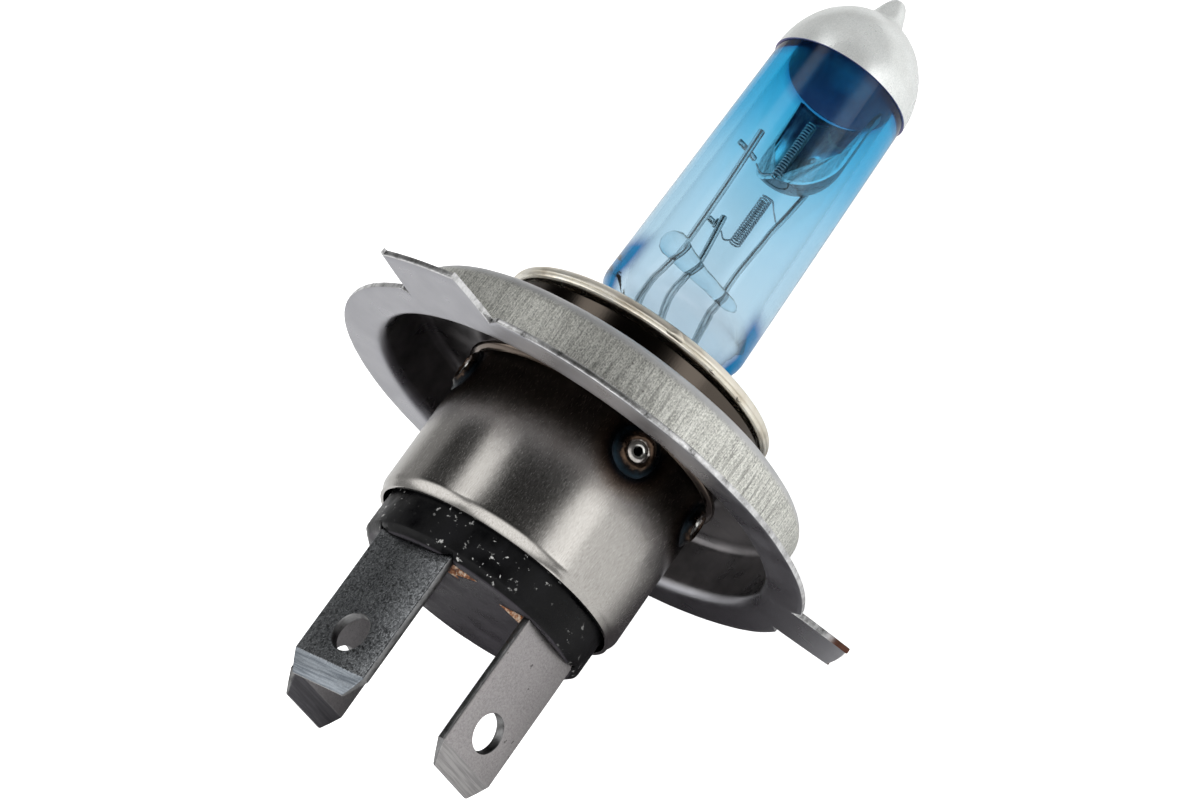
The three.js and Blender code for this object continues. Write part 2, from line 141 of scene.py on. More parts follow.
def world_math(tree, operation, a, b):
    node = tree.nodes.new("ShaderNodeMath")
    node.operation = operation
    for socket, value in zip(node.inputs, (a, b)):
        if isinstance(value, float):
            socket.default_value = value
        else:
            tree.links.new(value, socket)
    return node.outputs[0]


def make_studio():
    """Panels on a dim grey room. The camera sees plain white; rays through glass do on one side."""
    world = bpy.data.worlds.new("studio")
    world.use_nodes = True
    bpy.context.scene.world = world
    tree = world.node_tree
    total = STUDIO_BASE
    for settings in STUDIO:
        total = world_math(tree, "ADD", panel(tree, *settings), total)
    total = world_math(tree, "MAXIMUM", total, 0.01)
    path = tree.nodes.new("ShaderNodeLightPath")
    behind = panel(tree, *BEHIND_GLASS, 1.0)
    behind = world_math(tree, "MULTIPLY", path.outputs["Is Transmission Ray"], behind)
    white = world_math(tree, "MAXIMUM", path.outputs["Is Camera Ray"], behind)
    mix = tree.nodes.new("ShaderNodeMix")
    mix.inputs["B"].default_value = 1.0
    tree.links.new(white, mix.inputs["Factor"])
    tree.links.new(total, mix.inputs["A"])
    tree.links.new(mix.outputs["Result"], tree.nodes["Background"].inputs["Color"])


def area_light(name, azimuth, elevation, distance, size, power):
    light = bpy.data.objects.new(name, bpy.data.lights.new(name, "AREA"))
    light.data.shape = "DISK"
    light.data.size = size
    light.data.energy = power
    place = direction(azimuth, elevation) * distance
    light.matrix_world = Matrix.Translation(place) @ (-place).to_track_quat("-Z", "Y").to_matrix().to_4x4()
    light.visible_glossy = False
    light.visible_camera = False
    light.visible_transmission = False
    bpy.context.scene.collection.objects.link(light)


# ---- node materials -----------------------------------------------------------------------------------

def rgb(red, green, blue):
    """A linear colour from screen values of 0 to 255."""
    def linear(value):
        value /= 255
        return value / 12.92 if value <= 0.04045 else ((value + 0.055) / 1.055) ** 2.4
    return (linear(red), linear(green), linear(blue), 1.0)


class Paint:
    """A Principled material. Each method adds a node and gives its output socket."""

    def __init__(self, name, **values):
        self.material = bpy.data.materials.new(name)
        self.material.use_nodes = True
        self.tree = self.material.node_tree
        self.shader = self.tree.nodes["Principled BSDF"]
        for key, value in values.items():
            self.set(key.replace("_", " "), value)

    def set(self, name, value, node=None):
        socket = (node or self.shader).inputs[name]
        if isinstance(value, bpy.types.NodeSocket):
            self.tree.links.new(value, socket)
        else:
            socket.default_value = value

    def add(self, kind, inputs, output=0, **settings):
        node = self.tree.nodes.new("ShaderNode" + kind)
        for key, value in settings.items():
            setattr(node, key, value)
        for name, value in inputs.items():
            self.set(name, value, node)
        return node.outputs[output]

    def place(self, stretch=(1, 1, 1)):
        """The surface point in millimetres, stretched along the three axes."""
        point = self.add("TexCoord", {}, "Object")
        factors = tuple(value / MM for value in stretch)
        return self.add("VectorMath", {0: point, 1: factors}, operation="MULTIPLY")

    def axes(self):
        split = self.add("SeparateXYZ", {0: self.place()}).node
        return split.outputs[0], split.outputs[1], split.outputs[2]

    def radius(self):
        flat = self.place((0, 1, 1))
        return self.add("VectorMath", {0: flat}, "Value", operation="LENGTH")

    def noise(self, scale, detail, rough=0.55, stretch=(1, 1, 1)):
        inputs = {"Vector": self.place(stretch), "Scale": scale, "Detail": detail, "Roughness": rough}
        return self.add("TexNoise", inputs)

    def math(self, operation, a, b=0.0, c=0.0):
        return self.add("Math", {0: a, 1: b, 2: c}, operation=operation)

    def times(self, a, b):
        return self.math("MULTIPLY", a, b)

    def linear(self, value, to_low, to_high, low=0.0, high=1.0):
        """A straight-line map, where range eases in and out."""
        return self.add("MapRange", {"Value": value, "From Min": low, "From Max": high,
                                     "To Min": to_low, "To Max": to_high})

    def range(self, value, low, high, to_low=0.0, to_high=1.0):
        inputs = {"Value": value, "From Min": low, "From Max": high, "To Min": to_low, "To Max": to_high}
        return self.add("MapRange", inputs, interpolation_type="SMOOTHSTEP")

    def ramp(self, value, stops):
        node = self.tree.nodes.new("ShaderNodeValToRGB")
        elements = node.color_ramp.elements
        while len(elements) < len(stops):
            elements.new(0.5)
        for element, (position, colour) in zip(elements, stops):
            element.position = position
            element.color = colour
        self.set("Fac", value, node)
        return node.outputs["Color"]

    def mix(self, factor, a, b):
        node = self.tree.nodes.new("ShaderNodeMix")
        node.data_type = "RGBA"
        for index, value in ((0, factor), (6, a), (7, b)):
            if isinstance(value, bpy.types.NodeSocket):
                self.tree.links.new(value, node.inputs[index])
            else:
                node.inputs[index].default_value = value
        return node.outputs[2]

    def distance(self, point):
        return self.add("VectorMath", {0: self.place(), 1: tuple(point)}, "Value", operation="DISTANCE")

    def bump(self, height, depth, strength=1.0, under=None):
        """Fine relief, its depth in millimetres."""
        inputs = {"Height": height, "Distance": depth * MM, "Strength": strength}
        if under is not None:
            inputs["Normal"] = under
        return self.add("Bump", inputs)


PRESS_LINES = 118.0


def flange_paint():
    """Grainy drawn steel on the crown's wall, satin steel elsewhere, and a polished neck darkened by a
    painted dark reflection.
    """
    paint = Paint("flange_steel", Metallic=1.0)
    x, y, z = paint.axes()
    streaks = paint.noise(1.0, 4, 0.65, stretch=(0.4, 8, 8))
    fine = paint.noise(9.0, 3, 0.7, stretch=(0.7, 1, 1))
    cloud = paint.noise(0.22, 3)
    wall = paint.times(paint.range(x, 0.2, 0.7), paint.range(x, 4.6, 4.0))
    grain = paint.math("ADD", paint.times(streaks, 0.42), paint.times(fine, 0.58))
    grain = paint.ramp(grain, [(0.40, rgb(158, 158, 153)), (0.50, rgb(214, 214, 207)),
                               (0.60, rgb(246, 246, 240))])
    plain = paint.ramp(cloud, [(0.35, rgb(196, 197, 198)), (0.65, rgb(214, 214, 214))])
    colour = paint.mix(wall, plain, grain)
    specks = paint.range(paint.noise(2.6, 2, 0.5), 0.74, 0.80)
    colour = paint.mix(paint.times(specks, 0.55), colour, rgb(70, 66, 62))
    angle = paint.math("ARCTAN2", paint.times(y, -1.0), z)
    lines = paint.range(paint.math("SINE", paint.times(angle, PRESS_LINES)), 0.55, 0.95)
    short = paint.times(paint.range(x, 1.0, 1.6), paint.range(x, 3.6, 2.8))
    lines = paint.times(paint.times(lines, short), paint.range(cloud, 0.45, 0.6, 0.0, 0.4))
    colour = paint.mix(paint.times(lines, wall), colour, rgb(110, 108, 104))
    # The neck's colour is darkened as a painted dark reflection.
    neck = paint.times(paint.range(paint.radius(), 13.2, 12.3), paint.range(x, 4.8, 5.3))
    paint.set("Base Color", paint.mix(neck, colour, rgb(84, 77, 70)))
    satin = paint.linear(fine, 0.44, 0.60)
    paint.set("Roughness", paint.linear(neck, satin, 0.15))
    paint.set("Normal", paint.bump(fine, 0.005, 0.5, paint.bump(streaks, 0.012, 0.4)))
    return paint.material


def flange_inside_paint():
    """The back of the pressing: pale satin on the brim, darker in the hollow as painted shade."""
    paint = Paint("flange_inside", Metallic=1.0)
    cloud = paint.noise(0.3, 3)
    x, _, _ = paint.axes()
    # The darker colour of the hollow is painted shade.
    dark = paint.ramp(cloud, [(0.35, rgb(104, 102, 103)), (0.65, rgb(134, 131, 132))])
    paint.set("Base Color", paint.mix(paint.range(x, 0.6, -0.4), dark, rgb(168, 168, 173)))
    paint.set("Roughness", paint.range(cloud, 0.3, 0.7, 0.26, 0.38))
    paint.set("Normal", paint.bump(cloud, 0.1, 0.3))
    return paint.material


def nickel_paint():
    """Warm polished nickel, softer on the lip, browned round the weld."""
    paint = Paint("polished_nickel", Metallic=1.0)
    x, _, _ = paint.axes()
    stain = paint.noise(0.45, 4)
    scratches = paint.noise(1.0, 3, 0.7, stretch=(14, 0.5, 0.5))
    colour = paint.ramp(stain, [(0.30, rgb(214, 204, 186)), (0.50, rgb(240, 234, 219)),
                                (0.75, rgb(248, 245, 236))])
    burn = paint.distance(around(9.3, 11.2, WELD_ANGLE))
    paint.set("Base Color", paint.mix(paint.range(burn, 1.3, 0.35), colour, rgb(120, 84, 62)))
    gloss = paint.linear(scratches, 0.16, 0.30, 0.3, 0.7)
    paint.set("Roughness", paint.linear(paint.range(x, 8.7, 9.0), gloss, 0.40))
    dents = paint.noise(0.5, 2, stretch=(2.0, 1, 1))
    paint.set("Normal", paint.bump(dents, 0.05, 0.35, paint.bump(scratches, 0.006, 0.5)))
    return paint.material


def ring_point(degrees, radius):
    """The y and z of a point round the axis."""
    angle = math.radians(degrees)
    return -radius * math.sin(angle), radius * math.cos(angle)


def nearest_eyelet(paint):
    """Distance from the surface point to the nearest eyelet, in millimetres."""
    nearest = None
    for degrees in EYELET_ANGLES:
        away = paint.distance((EYELET_X, *ring_point(degrees, BARREL_RADIUS)))
        nearest = away if nearest is None else paint.math("MINIMUM", nearest, away)
    return nearest


def barrel_paint():
    """Brushed steel, browned near the flange partly by weld tint and partly by a painted reflection of the
    flange's dark underside, with painted shade on the bead, and burnt round the eyelets.
    """
    paint = Paint("barrel_steel", Metallic=1.0)
    x, _, _ = paint.axes()
    grain = paint.noise(1.0, 4, 0.7, stretch=(2.4, 15, 15))
    cloud = paint.noise(0.3, 3)
    steel = paint.ramp(grain, [(0.32, rgb(158, 154, 150)), (0.5, rgb(181, 178, 173)),
                               (0.68, rgb(196, 193, 189))])
    # Brown near the flange: partly weld tint, partly a painted reflection of the flange's dark underside.
    tint_and_reflection = paint.math("ADD", x, paint.times(cloud, 3.0))
    colour = paint.mix(paint.range(tint_and_reflection, -4.0, 1.2, 0.0, 0.85), steel, rgb(84, 70, 60))
    away = nearest_eyelet(paint)
    burnt = paint.ramp(paint.math("DIVIDE", away, 5.0),
                       [(0.30, rgb(40, 50, 57)), (0.44, rgb(32, 37, 43)), (0.52, rgb(70, 54, 44)),
                        (0.72, rgb(112, 90, 72))])
    colour = paint.mix(paint.range(away, 4.2, 2.2), colour, burnt)
    # The bead sits under the flange: its darker colour is painted shade.
    bead = paint.times(paint.range(x, 1.5, 1.9), paint.range(x, 3.6, 3.1))
    paint.set("Base Color", paint.mix(bead, colour, rgb(118, 106, 96)))
    satin = paint.linear(grain, 0.19, 0.29, 0.3, 0.7)
    smooth = paint.math("MAXIMUM", bead, paint.range(x, -9.8, -10.3))
    paint.set("Roughness", paint.linear(smooth, satin, 0.15))
    paint.set("Normal", paint.bump(grain, 0.004, 0.6, paint.bump(cloud, 0.10, 0.3)))
    return paint.material


def weld_paint():
    """Rings of colour from the pierced middle of an eyelet outwards; the near-black middle is painted shade
    in the hole.
    """
    paint = Paint("weld_steel", Metallic=1.0)
    away = nearest_eyelet(paint)
    cloud = paint.noise(2.2, 3)
    rings = paint.math("ADD", away, paint.times(paint.math("SUBTRACT", cloud, 0.5), 0.5))
    # The near-black middle, out to about 0.4 mm, is painted shade in the pierced hole.
    colour = paint.ramp(paint.math("DIVIDE", rings, 2.5),
                        [(0.0, rgb(8, 8, 9)), (0.15, rgb(12, 11, 11)), (0.19, rgb(235, 235, 230)),
                         (0.33, rgb(206, 200, 194)), (0.39, rgb(58, 48, 42)), (0.50, rgb(96, 78, 64)),
                         (0.60, rgb(20, 18, 18)), (0.74, rgb(27, 38, 45)), (0.86, rgb(26, 26, 29))])
    paint.set("Base Color", colour)
    paint.set("Roughness", paint.range(cloud, 0.3, 0.7, 0.26, 0.44))
    paint.set("Normal", paint.bump(cloud, 0.06, 0.5))
    return paint.material


def insulator_paint():
    """Black moulding with pale chips on its side and a greyer back."""
    paint = Paint("black_insulator", Specular_IOR_Level=0.14)
    x, _, _ = paint.axes()
    cloud = paint.noise(0.35, 4)
    chips = paint.noise(1.7, 5, 0.65)
    side = paint.range(x, INSULATOR_LOW.x + 0.05, INSULATOR_LOW.x + 0.15)
    zone = paint.range(paint.noise(0.16, 1), 0.42, 0.60)
    speck = paint.times(paint.range(chips, 0.62, 0.66), paint.times(side, zone))
    body = paint.ramp(cloud, [(0.35, rgb(3, 3, 4)), (0.55, rgb(8, 8, 9)), (0.75, rgb(18, 18, 20))])
    back = paint.ramp(cloud, [(0.35, rgb(40, 38, 42)), (0.70, rgb(58, 55, 60))])
    colour = paint.mix(side, back, body)
    paint.set("Base Color", paint.mix(speck, colour, rgb(172, 172, 170)))
    paint.set("Roughness", paint.range(cloud, 0.3, 0.7, 0.22, 0.5))
    paint.set("Normal", paint.bump(chips, 0.05, 0.5))
    return paint.material


def pit_paint():
    """Fired brown edges of the recesses beside the blades."""
    paint = Paint("insulator_pit", Roughness=0.45)
    cloud = paint.noise(2.4, 3)
    paint.set("Base Color", paint.ramp(cloud, [(0.35, rgb(58, 28, 14)), (0.5, rgb(150, 92, 48)),
                                               (0.62, rgb(208, 190, 168))]))
    paint.set("Normal", paint.bump(cloud, 0.1, 0.6))
    return paint.material


def blade_paint(name, dark, light, tip_tones, contrast, roughness):
    """Plated steel with a grain, and lines across the bevelled tip in the given tip tones, which hold a
    painted reflection on the top blade and painted shade on the left blade.
    """
    paint = Paint(name, Metallic=1.0)
    grain = paint.noise(5.5, 4, 0.85)
    cloud = paint.noise(0.5, 3)
    low, high = 0.5 - contrast, 0.5 + contrast
    colour = paint.ramp(grain, [(low, dark), (high, light)])
    specks = paint.range(paint.noise(2.0, 2, 0.4), 0.73, 0.77)
    colour = paint.mix(paint.times(specks, 0.7), colour, rgb(34, 32, 32))
    colour = paint.mix(paint.range(cloud, 0.35, 0.7, 0.0, 0.18), colour, light)
    x, _, _ = paint.axes()
    tip = paint.range(x, BLADE_LOW.x + 1.85, BLADE_LOW.x + 1.7)
    drawn = paint.ramp(paint.noise(1.0, 3, 0.6, stretch=(7, 0.3, 0.3)), list(zip((0.4, 0.6), tip_tones)))
    paint.set("Base Color", paint.mix(tip, colour, drawn))
    paint.set("Roughness", paint.range(grain, low, high, roughness + 0.1, roughness))
    depth = paint.times(grain, paint.math("SUBTRACT", 1.0, tip))
    paint.set("Normal", paint.bump(depth, 0.025, 0.7))
    return paint.material


def edge_paint(name, shade):
    """Sheared edges of sheet metal: bright, with darker burrs. A shade factor less than one darkens the whole
    edge as painted shade.
    """
    paint = Paint(name, Metallic=1.0)
    tear = paint.noise(1.1, 4, 0.7, stretch=(0.6, 1, 1))
    levels = [tuple(shade * part for part in rgb(value, value, value)[:3]) + (1,) for value in (94, 175, 225)]
    _, y, z = paint.axes()
    colour = paint.ramp(tear, list(zip((0.30, 0.40, 0.60), levels)))
    rust = paint.times(paint.range(z, -14.6, -15.4), paint.range(y, -13.0, -14.0))
    paint.set("Base Color", paint.mix(rust, colour, rgb(92, 64, 54)))
    paint.set("Roughness", 0.3)
    paint.set("Normal", paint.bump(tear, 0.08, 0.7))
    return paint.material


GLASS_TINT = [
    (14, (0.52, 0.68, 0.80)), (18, (0.48, 0.69, 0.82)), (22, (0.43, 0.67, 0.82)), (26, (0.34, 0.63, 0.82)),
    (29, (0.22, 0.56, 0.79)), (32, (0.10, 0.47, 0.75)), (35, (0.03, 0.39, 0.68)), (37.4, (0.015, 0.33, 0.62)),
    (38.3, (0.004, 0.08, 0.26)),
]


def through_lamps(paint, tint):
    """Glass that lets lamps and the studio light through to what it holds."""
    clear = paint.add("BsdfTransparent", {"Color": tint})
    shadow = paint.add("LightPath", {}, "Is Shadow Ray")
    mixed = paint.add("MixShader", {0: shadow, 1: paint.shader.outputs[0], 2: clear})
    paint.tree.links.new(mixed, paint.tree.nodes["Material Output"].inputs["Surface"])


def blue_glass_paint():
    """Quartz with a coating that is palest at the base and deepest at the end."""
    paint = Paint("blue_glass", Transmission_Weight=1.0, Roughness=0.0, IOR=1.36)
    x, _, _ = paint.axes()
    start, end = GLASS_TINT[0][0], GLASS_TINT[-1][0]
    stops = [((at - start) / (end - start), (*colour, 1.0)) for at, colour in GLASS_TINT]
    along = paint.linear(x, 0.0, 1.0, start, end)
    tint = paint.ramp(along, stops)
    facing = paint.add("LayerWeight", {"Blend": 0.5}, "Facing")
    high = paint.times(paint.range(facing, 0.15, 0.6), paint.range(x, 26.0, 33.0, 0.1, 0.75))
    tint = paint.mix(high, tint, (0.003, 0.33, 0.62, 1.0))
    low = paint.times(paint.range(x, 18.4, 16.2), paint.range(facing, 0.30, 0.52))
    tint = paint.mix(low, tint, (0.0, 0.05, 0.22, 1.0))
    paint.set("Base Color", tint)
    through_lamps(paint, paint.mix(0.5, tint, (1, 1, 1, 1)))
    return paint.material


def clear_glass_paint(name, tint, relief):
    """Clear quartz, darker where it is seen at a slant."""
    paint = Paint(name, Transmission_Weight=1.0, Roughness=0.0, IOR=1.46)
    cloud = paint.noise(0.6, 2)
    colour = paint.ramp(cloud, [(0.3, tint), (0.7, tuple(min(1.0, part * 1.04) for part in tint))])
    facing = paint.add("LayerWeight", {"Blend": 0.5}, "Facing")
    rim = paint.range(facing, 0.45, 0.9, 0.0, 0.6)
    paint.set("Base Color", paint.mix(rim, colour, (*(part * part * 0.5 for part in tint[:3]), 1.0)))
    paint.set("Normal", paint.bump(cloud, relief, 0.3))
    through_lamps(paint, (0.96, 0.98, 1.0, 1.0))
    return paint.material


def silver_paint():
    """The opaque end coating."""
    paint = Paint("silver_coating", Metallic=0.6)
    grain = paint.noise(9.0, 3, 0.7)
    cloud = paint.noise(0.5, 3)
    colour = paint.ramp(grain, [(0.35, rgb(222, 226, 224)), (0.65, rgb(246, 248, 246))])
    paint.set("Base Color", paint.mix(paint.range(cloud, 0.4, 0.7, 0.0, 0.25), colour, rgb(196, 197, 193)))
    paint.set("Roughness", paint.range(cloud, 0.3, 0.7, 0.27, 0.33))
    paint.set("Normal", paint.bump(grain, 0.012, 0.5, paint.bump(cloud, 0.12, 0.3)))
    return paint.material


def coat_inside_paint():
    """The end coating seen from inside the glass."""
    paint = Paint("coat_inside", Metallic=0.3, Roughness=0.3)
    cloud = paint.noise(0.5, 2)
    paint.set("Base Color", paint.ramp(cloud, [(0.3, rgb(104, 98, 138)), (0.7, rgb(132, 122, 156))]))
    return paint.material


def drawn_metal_paint(name, dark, light, roughness, stretch=(0.4, 6, 6)):
    """Drawn or rolled metal with faint streaks."""
    paint = Paint(name, Metallic=1.0)
    streaks = paint.noise(1.0, 3, 0.6, stretch=stretch)
    paint.set("Base Color", paint.ramp(streaks, [(0.35, dark), (0.65, light)]))
    paint.set("Roughness", paint.range(streaks, 0.3, 0.7, roughness, roughness + 0.12))
    paint.set("Normal", paint.bump(streaks, 0.01, 0.5))
    return paint.material


def floor_paint():
    """A pale floor that glows for the camera. Reflections see a painted shadow, a dark patch under the bulb,
    and rays through glass see a dark floor that glows."""
    paint = Paint("floor", Roughness=0.9)
    cloud = paint.noise(0.01, 2)
    path = paint.add("LightPath", {}).node
    pale = paint.ramp(cloud, [(0.3, (0.78, 0.78, 0.78, 1)), (0.7, (0.82, 0.82, 0.82, 1))])
    # A painted shadow: a dark patch under the bulb that only reflections see.
    painted_shadow_and_dark_base = paint.range(paint.distance((-12, 5, FLANGE_LOW.z)), 34, 14)
    painted_shadow_and_dark_base = paint.times(painted_shadow_and_dark_base, path.outputs["Is Glossy Ray"])
    painted_shadow_and_dark_base = paint.math("MAXIMUM", painted_shadow_and_dark_base, path.outputs["Is Transmission Ray"])
    paint.set("Base Color", paint.mix(painted_shadow_and_dark_base, pale, (0.07, 0.065, 0.07, 1)))
    paint.set("Specular IOR Level", 0.0)
    paint.set("Emission Color", (1, 1, 1, 1))
    through = paint.times(path.outputs["Is Transmission Ray"], 0.92)
    paint.set("Emission Strength", paint.math("MULTIPLY_ADD", path.outputs["Is Camera Ray"], 0.8, through))
    return paint.material


# ---- shape helpers ------------------------------------------------------------------------------------

def blend(a, b, t):
    return a + (b - a) * t


def ease(value, low, high):
    t = min(max((value - low) / (high - low), 0.0), 1.0)
    return t * t * (3 - 2 * t)


def around(x, radius, degrees):
    return Vector((x, *ring_point(degrees, radius)))


def burner_point(x, p, q=0.0):
    """A point of the burner: p is across the flat pinch, q is through its thickness."""
    return BURNER_TURN @ Vector((x, q, p))


def arc(x, radius, size, start, end, steps=6):
    """Points of an arc in the plane of x and radius."""
    points = []
    for i in range(steps + 1):
        angle = math.radians(start + (end - start) * i / steps)
        points.append((x + size * math.cos(angle), radius + size * math.sin(angle)))
    return points


def off_axis(point):
    return math.hypot(point.y, point.z)


def outward(point):
    """The direction away from the axis at a point."""
    return Vector((0, point.y, point.z)).normalized()


def loft(rings, close_ring=True, close_loft=False):
    """Points and faces between successive rings of equal length."""
    count = len(rings[0])
    faces = []
    for k in range(len(rings) if close_loft else len(rings) - 1):
        a, b = k * count, (k + 1) % len(rings) * count
        for i in range(count if close_ring else count - 1):
            j = (i + 1) % count
            faces.append((a + i, a + j, b + j, b + i))
    return [point for ring in rings for point in ring], faces


def capped(rings):
    """A closed body through rings, its two ends closed by fans."""
    points, faces = loft(rings)
    count = len(rings[0])
    for first, ring in ((0, rings[0]), (len(points) - count, rings[-1])):
        middle = len(points)
        points.append(sum(ring, Vector()) / count)
        faces += [(first + i, first + (i + 1) % count, middle) for i in range(count)]
    return points, faces


def lathe(profile, sides=192, shape=None):
    """Turns a closed profile of (x, radius) points round the axis; shape may move each point."""
    rings = []
    for i in range(sides):
        degrees = 360 * i / sides
        points = [around(x, radius, degrees) for x, radius in profile]
        rings.append([shape(point) for point in points] if shape else points)
    return loft(rings, close_loft=True)


def smooth_path(points, steps=8):
    """A centripetal curve through points, with steps pieces between neighbours."""
    ends = [2 * points[0] - points[1], *points, 2 * points[-1] - points[-2]]
    path = []
    for a, b, c, d in zip(ends, ends[1:], ends[2:], ends[3:]):
        for k in range(steps):
            t = k / steps
            path.append(0.5 * (2 * b + (c - a) * t + (2 * a - 5 * b + 4 * c - d) * t * t
                               + (3 * b - a - 3 * c + d) * t ** 3))
    return [*path, points[-1]]


def tube(path, radius, sides=14, ends=0.5):
    """A round bar along a path, its ends rounded off over a share of its radius."""
    sizes = radius if isinstance(radius, list) else [radius] * len(path)
    first, last = (path[0] - path[1]).normalized(), (path[-1] - path[-2]).normalized()

    def rounded(middle, way, size, turns):
        return [(middle + way * size * ends * math.sin(turn), size * math.cos(turn) ** ends)
                for turn in map(math.radians, turns)]

    spots = [*rounded(path[0], first, sizes[0], (85, 60, 30)), *zip(path, sizes),
             *rounded(path[-1], last, sizes[-1], (30, 60, 85))]
    tangent = (spots[1][0] - spots[0][0]).normalized()
    side = tangent.orthogonal().normalized()
    rings = []
    for k, (middle, size) in enumerate(spots):
        ahead = spots[min(k + 1, len(spots) - 1)][0] - spots[max(k - 1, 0)][0]
        tangent = ahead.normalized()
        side = (side - tangent * side.dot(tangent)).normalized()
        other = tangent.cross(side)
        rings.append([middle + size * (math.cos(t) * side + math.sin(t) * other)
                      for t in (2 * math.pi * i / sides for i in range(sides))])
    return capped(rings)


def joined(*bodies):
    points, faces = [], []
    for body_points, body_faces in bodies:
        shift = len(points)
        points += body_points
        faces += [tuple(shift + i for i in face) for face in body_faces]
    return points, faces


def ripple(point, size, scale, seed=0.0):
    """A small smooth wave in space, for metal that is not quite true."""
    return size * noise.noise(point / scale + Vector((seed, seed, seed)))


def mesh_object(name, body, *materials, sharp=32):
    points, faces = body
    mesh = bpy.data.meshes.new(name)
    mesh.from_pydata([point * MM for point in points], [], faces)
    shape = bmesh.new()
    shape.from_mesh(mesh)
    bmesh.ops.remove_doubles(shape, verts=shape.verts, dist=2e-7)
    bmesh.ops.dissolve_degenerate(shape, edges=shape.edges, dist=1e-8)
    bmesh.ops.recalc_face_normals(shape, faces=shape.faces)
    shape.to_mesh(mesh)
    shape.free()
    mesh.shade_smooth()
    mesh.set_sharp_from_angle(angle=math.radians(sharp))
    for material in materials:
        mesh.materials.append(material)
    piece = bpy.data.objects.new(name, mesh)
    bpy.context.scene.collection.objects.link(piece)
    return piece


def join_into(piece, other):
    bpy.ops.object.select_all(action="DESELECT")
    for part in (piece, other):
        part.select_set(True)
    bpy.context.view_layer.objects.active = piece
    bpy.ops.object.join()


def cut_with(piece, tools):
    """Cuts closed tool objects out of a piece and removes the tools."""
    for tool in tools:
        modifier = piece.modifiers.new("cut", "BOOLEAN")
        modifier.operation = "DIFFERENCE"
        modifier.solver = "EXACT"
        modifier.material_mode = "TRANSFER"
        modifier.object = tool
    bpy.context.view_layer.update()
    result = bpy.data.meshes.new_from_object(piece.evaluated_get(bpy.context.evaluated_depsgraph_get()))
    piece.modifiers.clear()
    piece.data = result
    for tool in tools:
        bpy.data.objects.remove(tool)


def paint_faces(piece, index, test):
    """Gives a material slot to each face whose middle and normal, in millimetres, pass a test."""
    for face in piece.data.polygons:
        if test(face.center / MM, face.normal):
            face.material_index = index


def mount(piece, slot, *nodes):
    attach(piece, "root")
    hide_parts(*nodes)
    return piece


# ---- mounting flange ----------------------------------------------------------------------------------

CROWN_RADIUS = 18.2
CROWN_TOP = 5.2
CROWN_FILLET = 1.4
NECK_RADIUS = 11.9
NECK_FILLET = 0.7
FOOT_FILLET = 0.5
RIM_EDGE = 0.09
WIDE_LUG = (8.5, 7.5)
NARROW_LUG = (6.4, 5.6)
LUGS = [(0, WIDE_LUG), (135, NARROW_LUG), (-135, NARROW_LUG)]
NOTCH_DEPTH = 0.7
NOTCH_WIDTH = 0.9


def lug_marks(root, tip):
    """Angles, in degrees from a lug's middle, of its tip corner, its notch's foot and the notch's far end."""
    half_tip, foot = tip / 2, root / 2
    corner = math.degrees(math.asin(half_tip / LUG_RADIUS))
    valley = math.degrees(math.atan2(foot, BRIM_RADIUS - NOTCH_DEPTH))
    out = math.degrees(math.asin((foot + NOTCH_WIDTH) / BRIM_RADIUS))
    return corner, valley, out


def outline_radius(degrees):
    """The flange's outer radius at an angle."""
    for middle, (root, tip) in LUGS:
        away = abs((degrees - middle + 180) % 360 - 180)
        corner, valley, out = lug_marks(root, tip)
        if away <= corner:
            return LUG_RADIUS
        if away < valley:
            t = (away - corner) / (valley - corner)
            along = Vector((tip / 2, LUG_RADIUS)).lerp(Vector((root / 2, BRIM_RADIUS - NOTCH_DEPTH)), t)
            return along.length
        if away < out:
            return BRIM_RADIUS - NOTCH_DEPTH * (out - away) / (out - valley)
    return BRIM_RADIUS


def flange_angles():
    angles = {round(0.75 * i, 4) for i in range(480)}
    for middle, (root, tip) in LUGS:
        corner, valley, out = lug_marks(root, tip)
        for side in (-1, 1):
            for mark in (corner - 0.15, corner, corner + 0.15, valley - 0.2, valley, valley + 0.2, out):
                angles.add(round((middle + side * mark) % 360, 4))
            for k in range(1, 8):
                angles.add(round((middle + side * blend(corner, valley, k / 8)) % 360, 4))
    return sorted(angles)


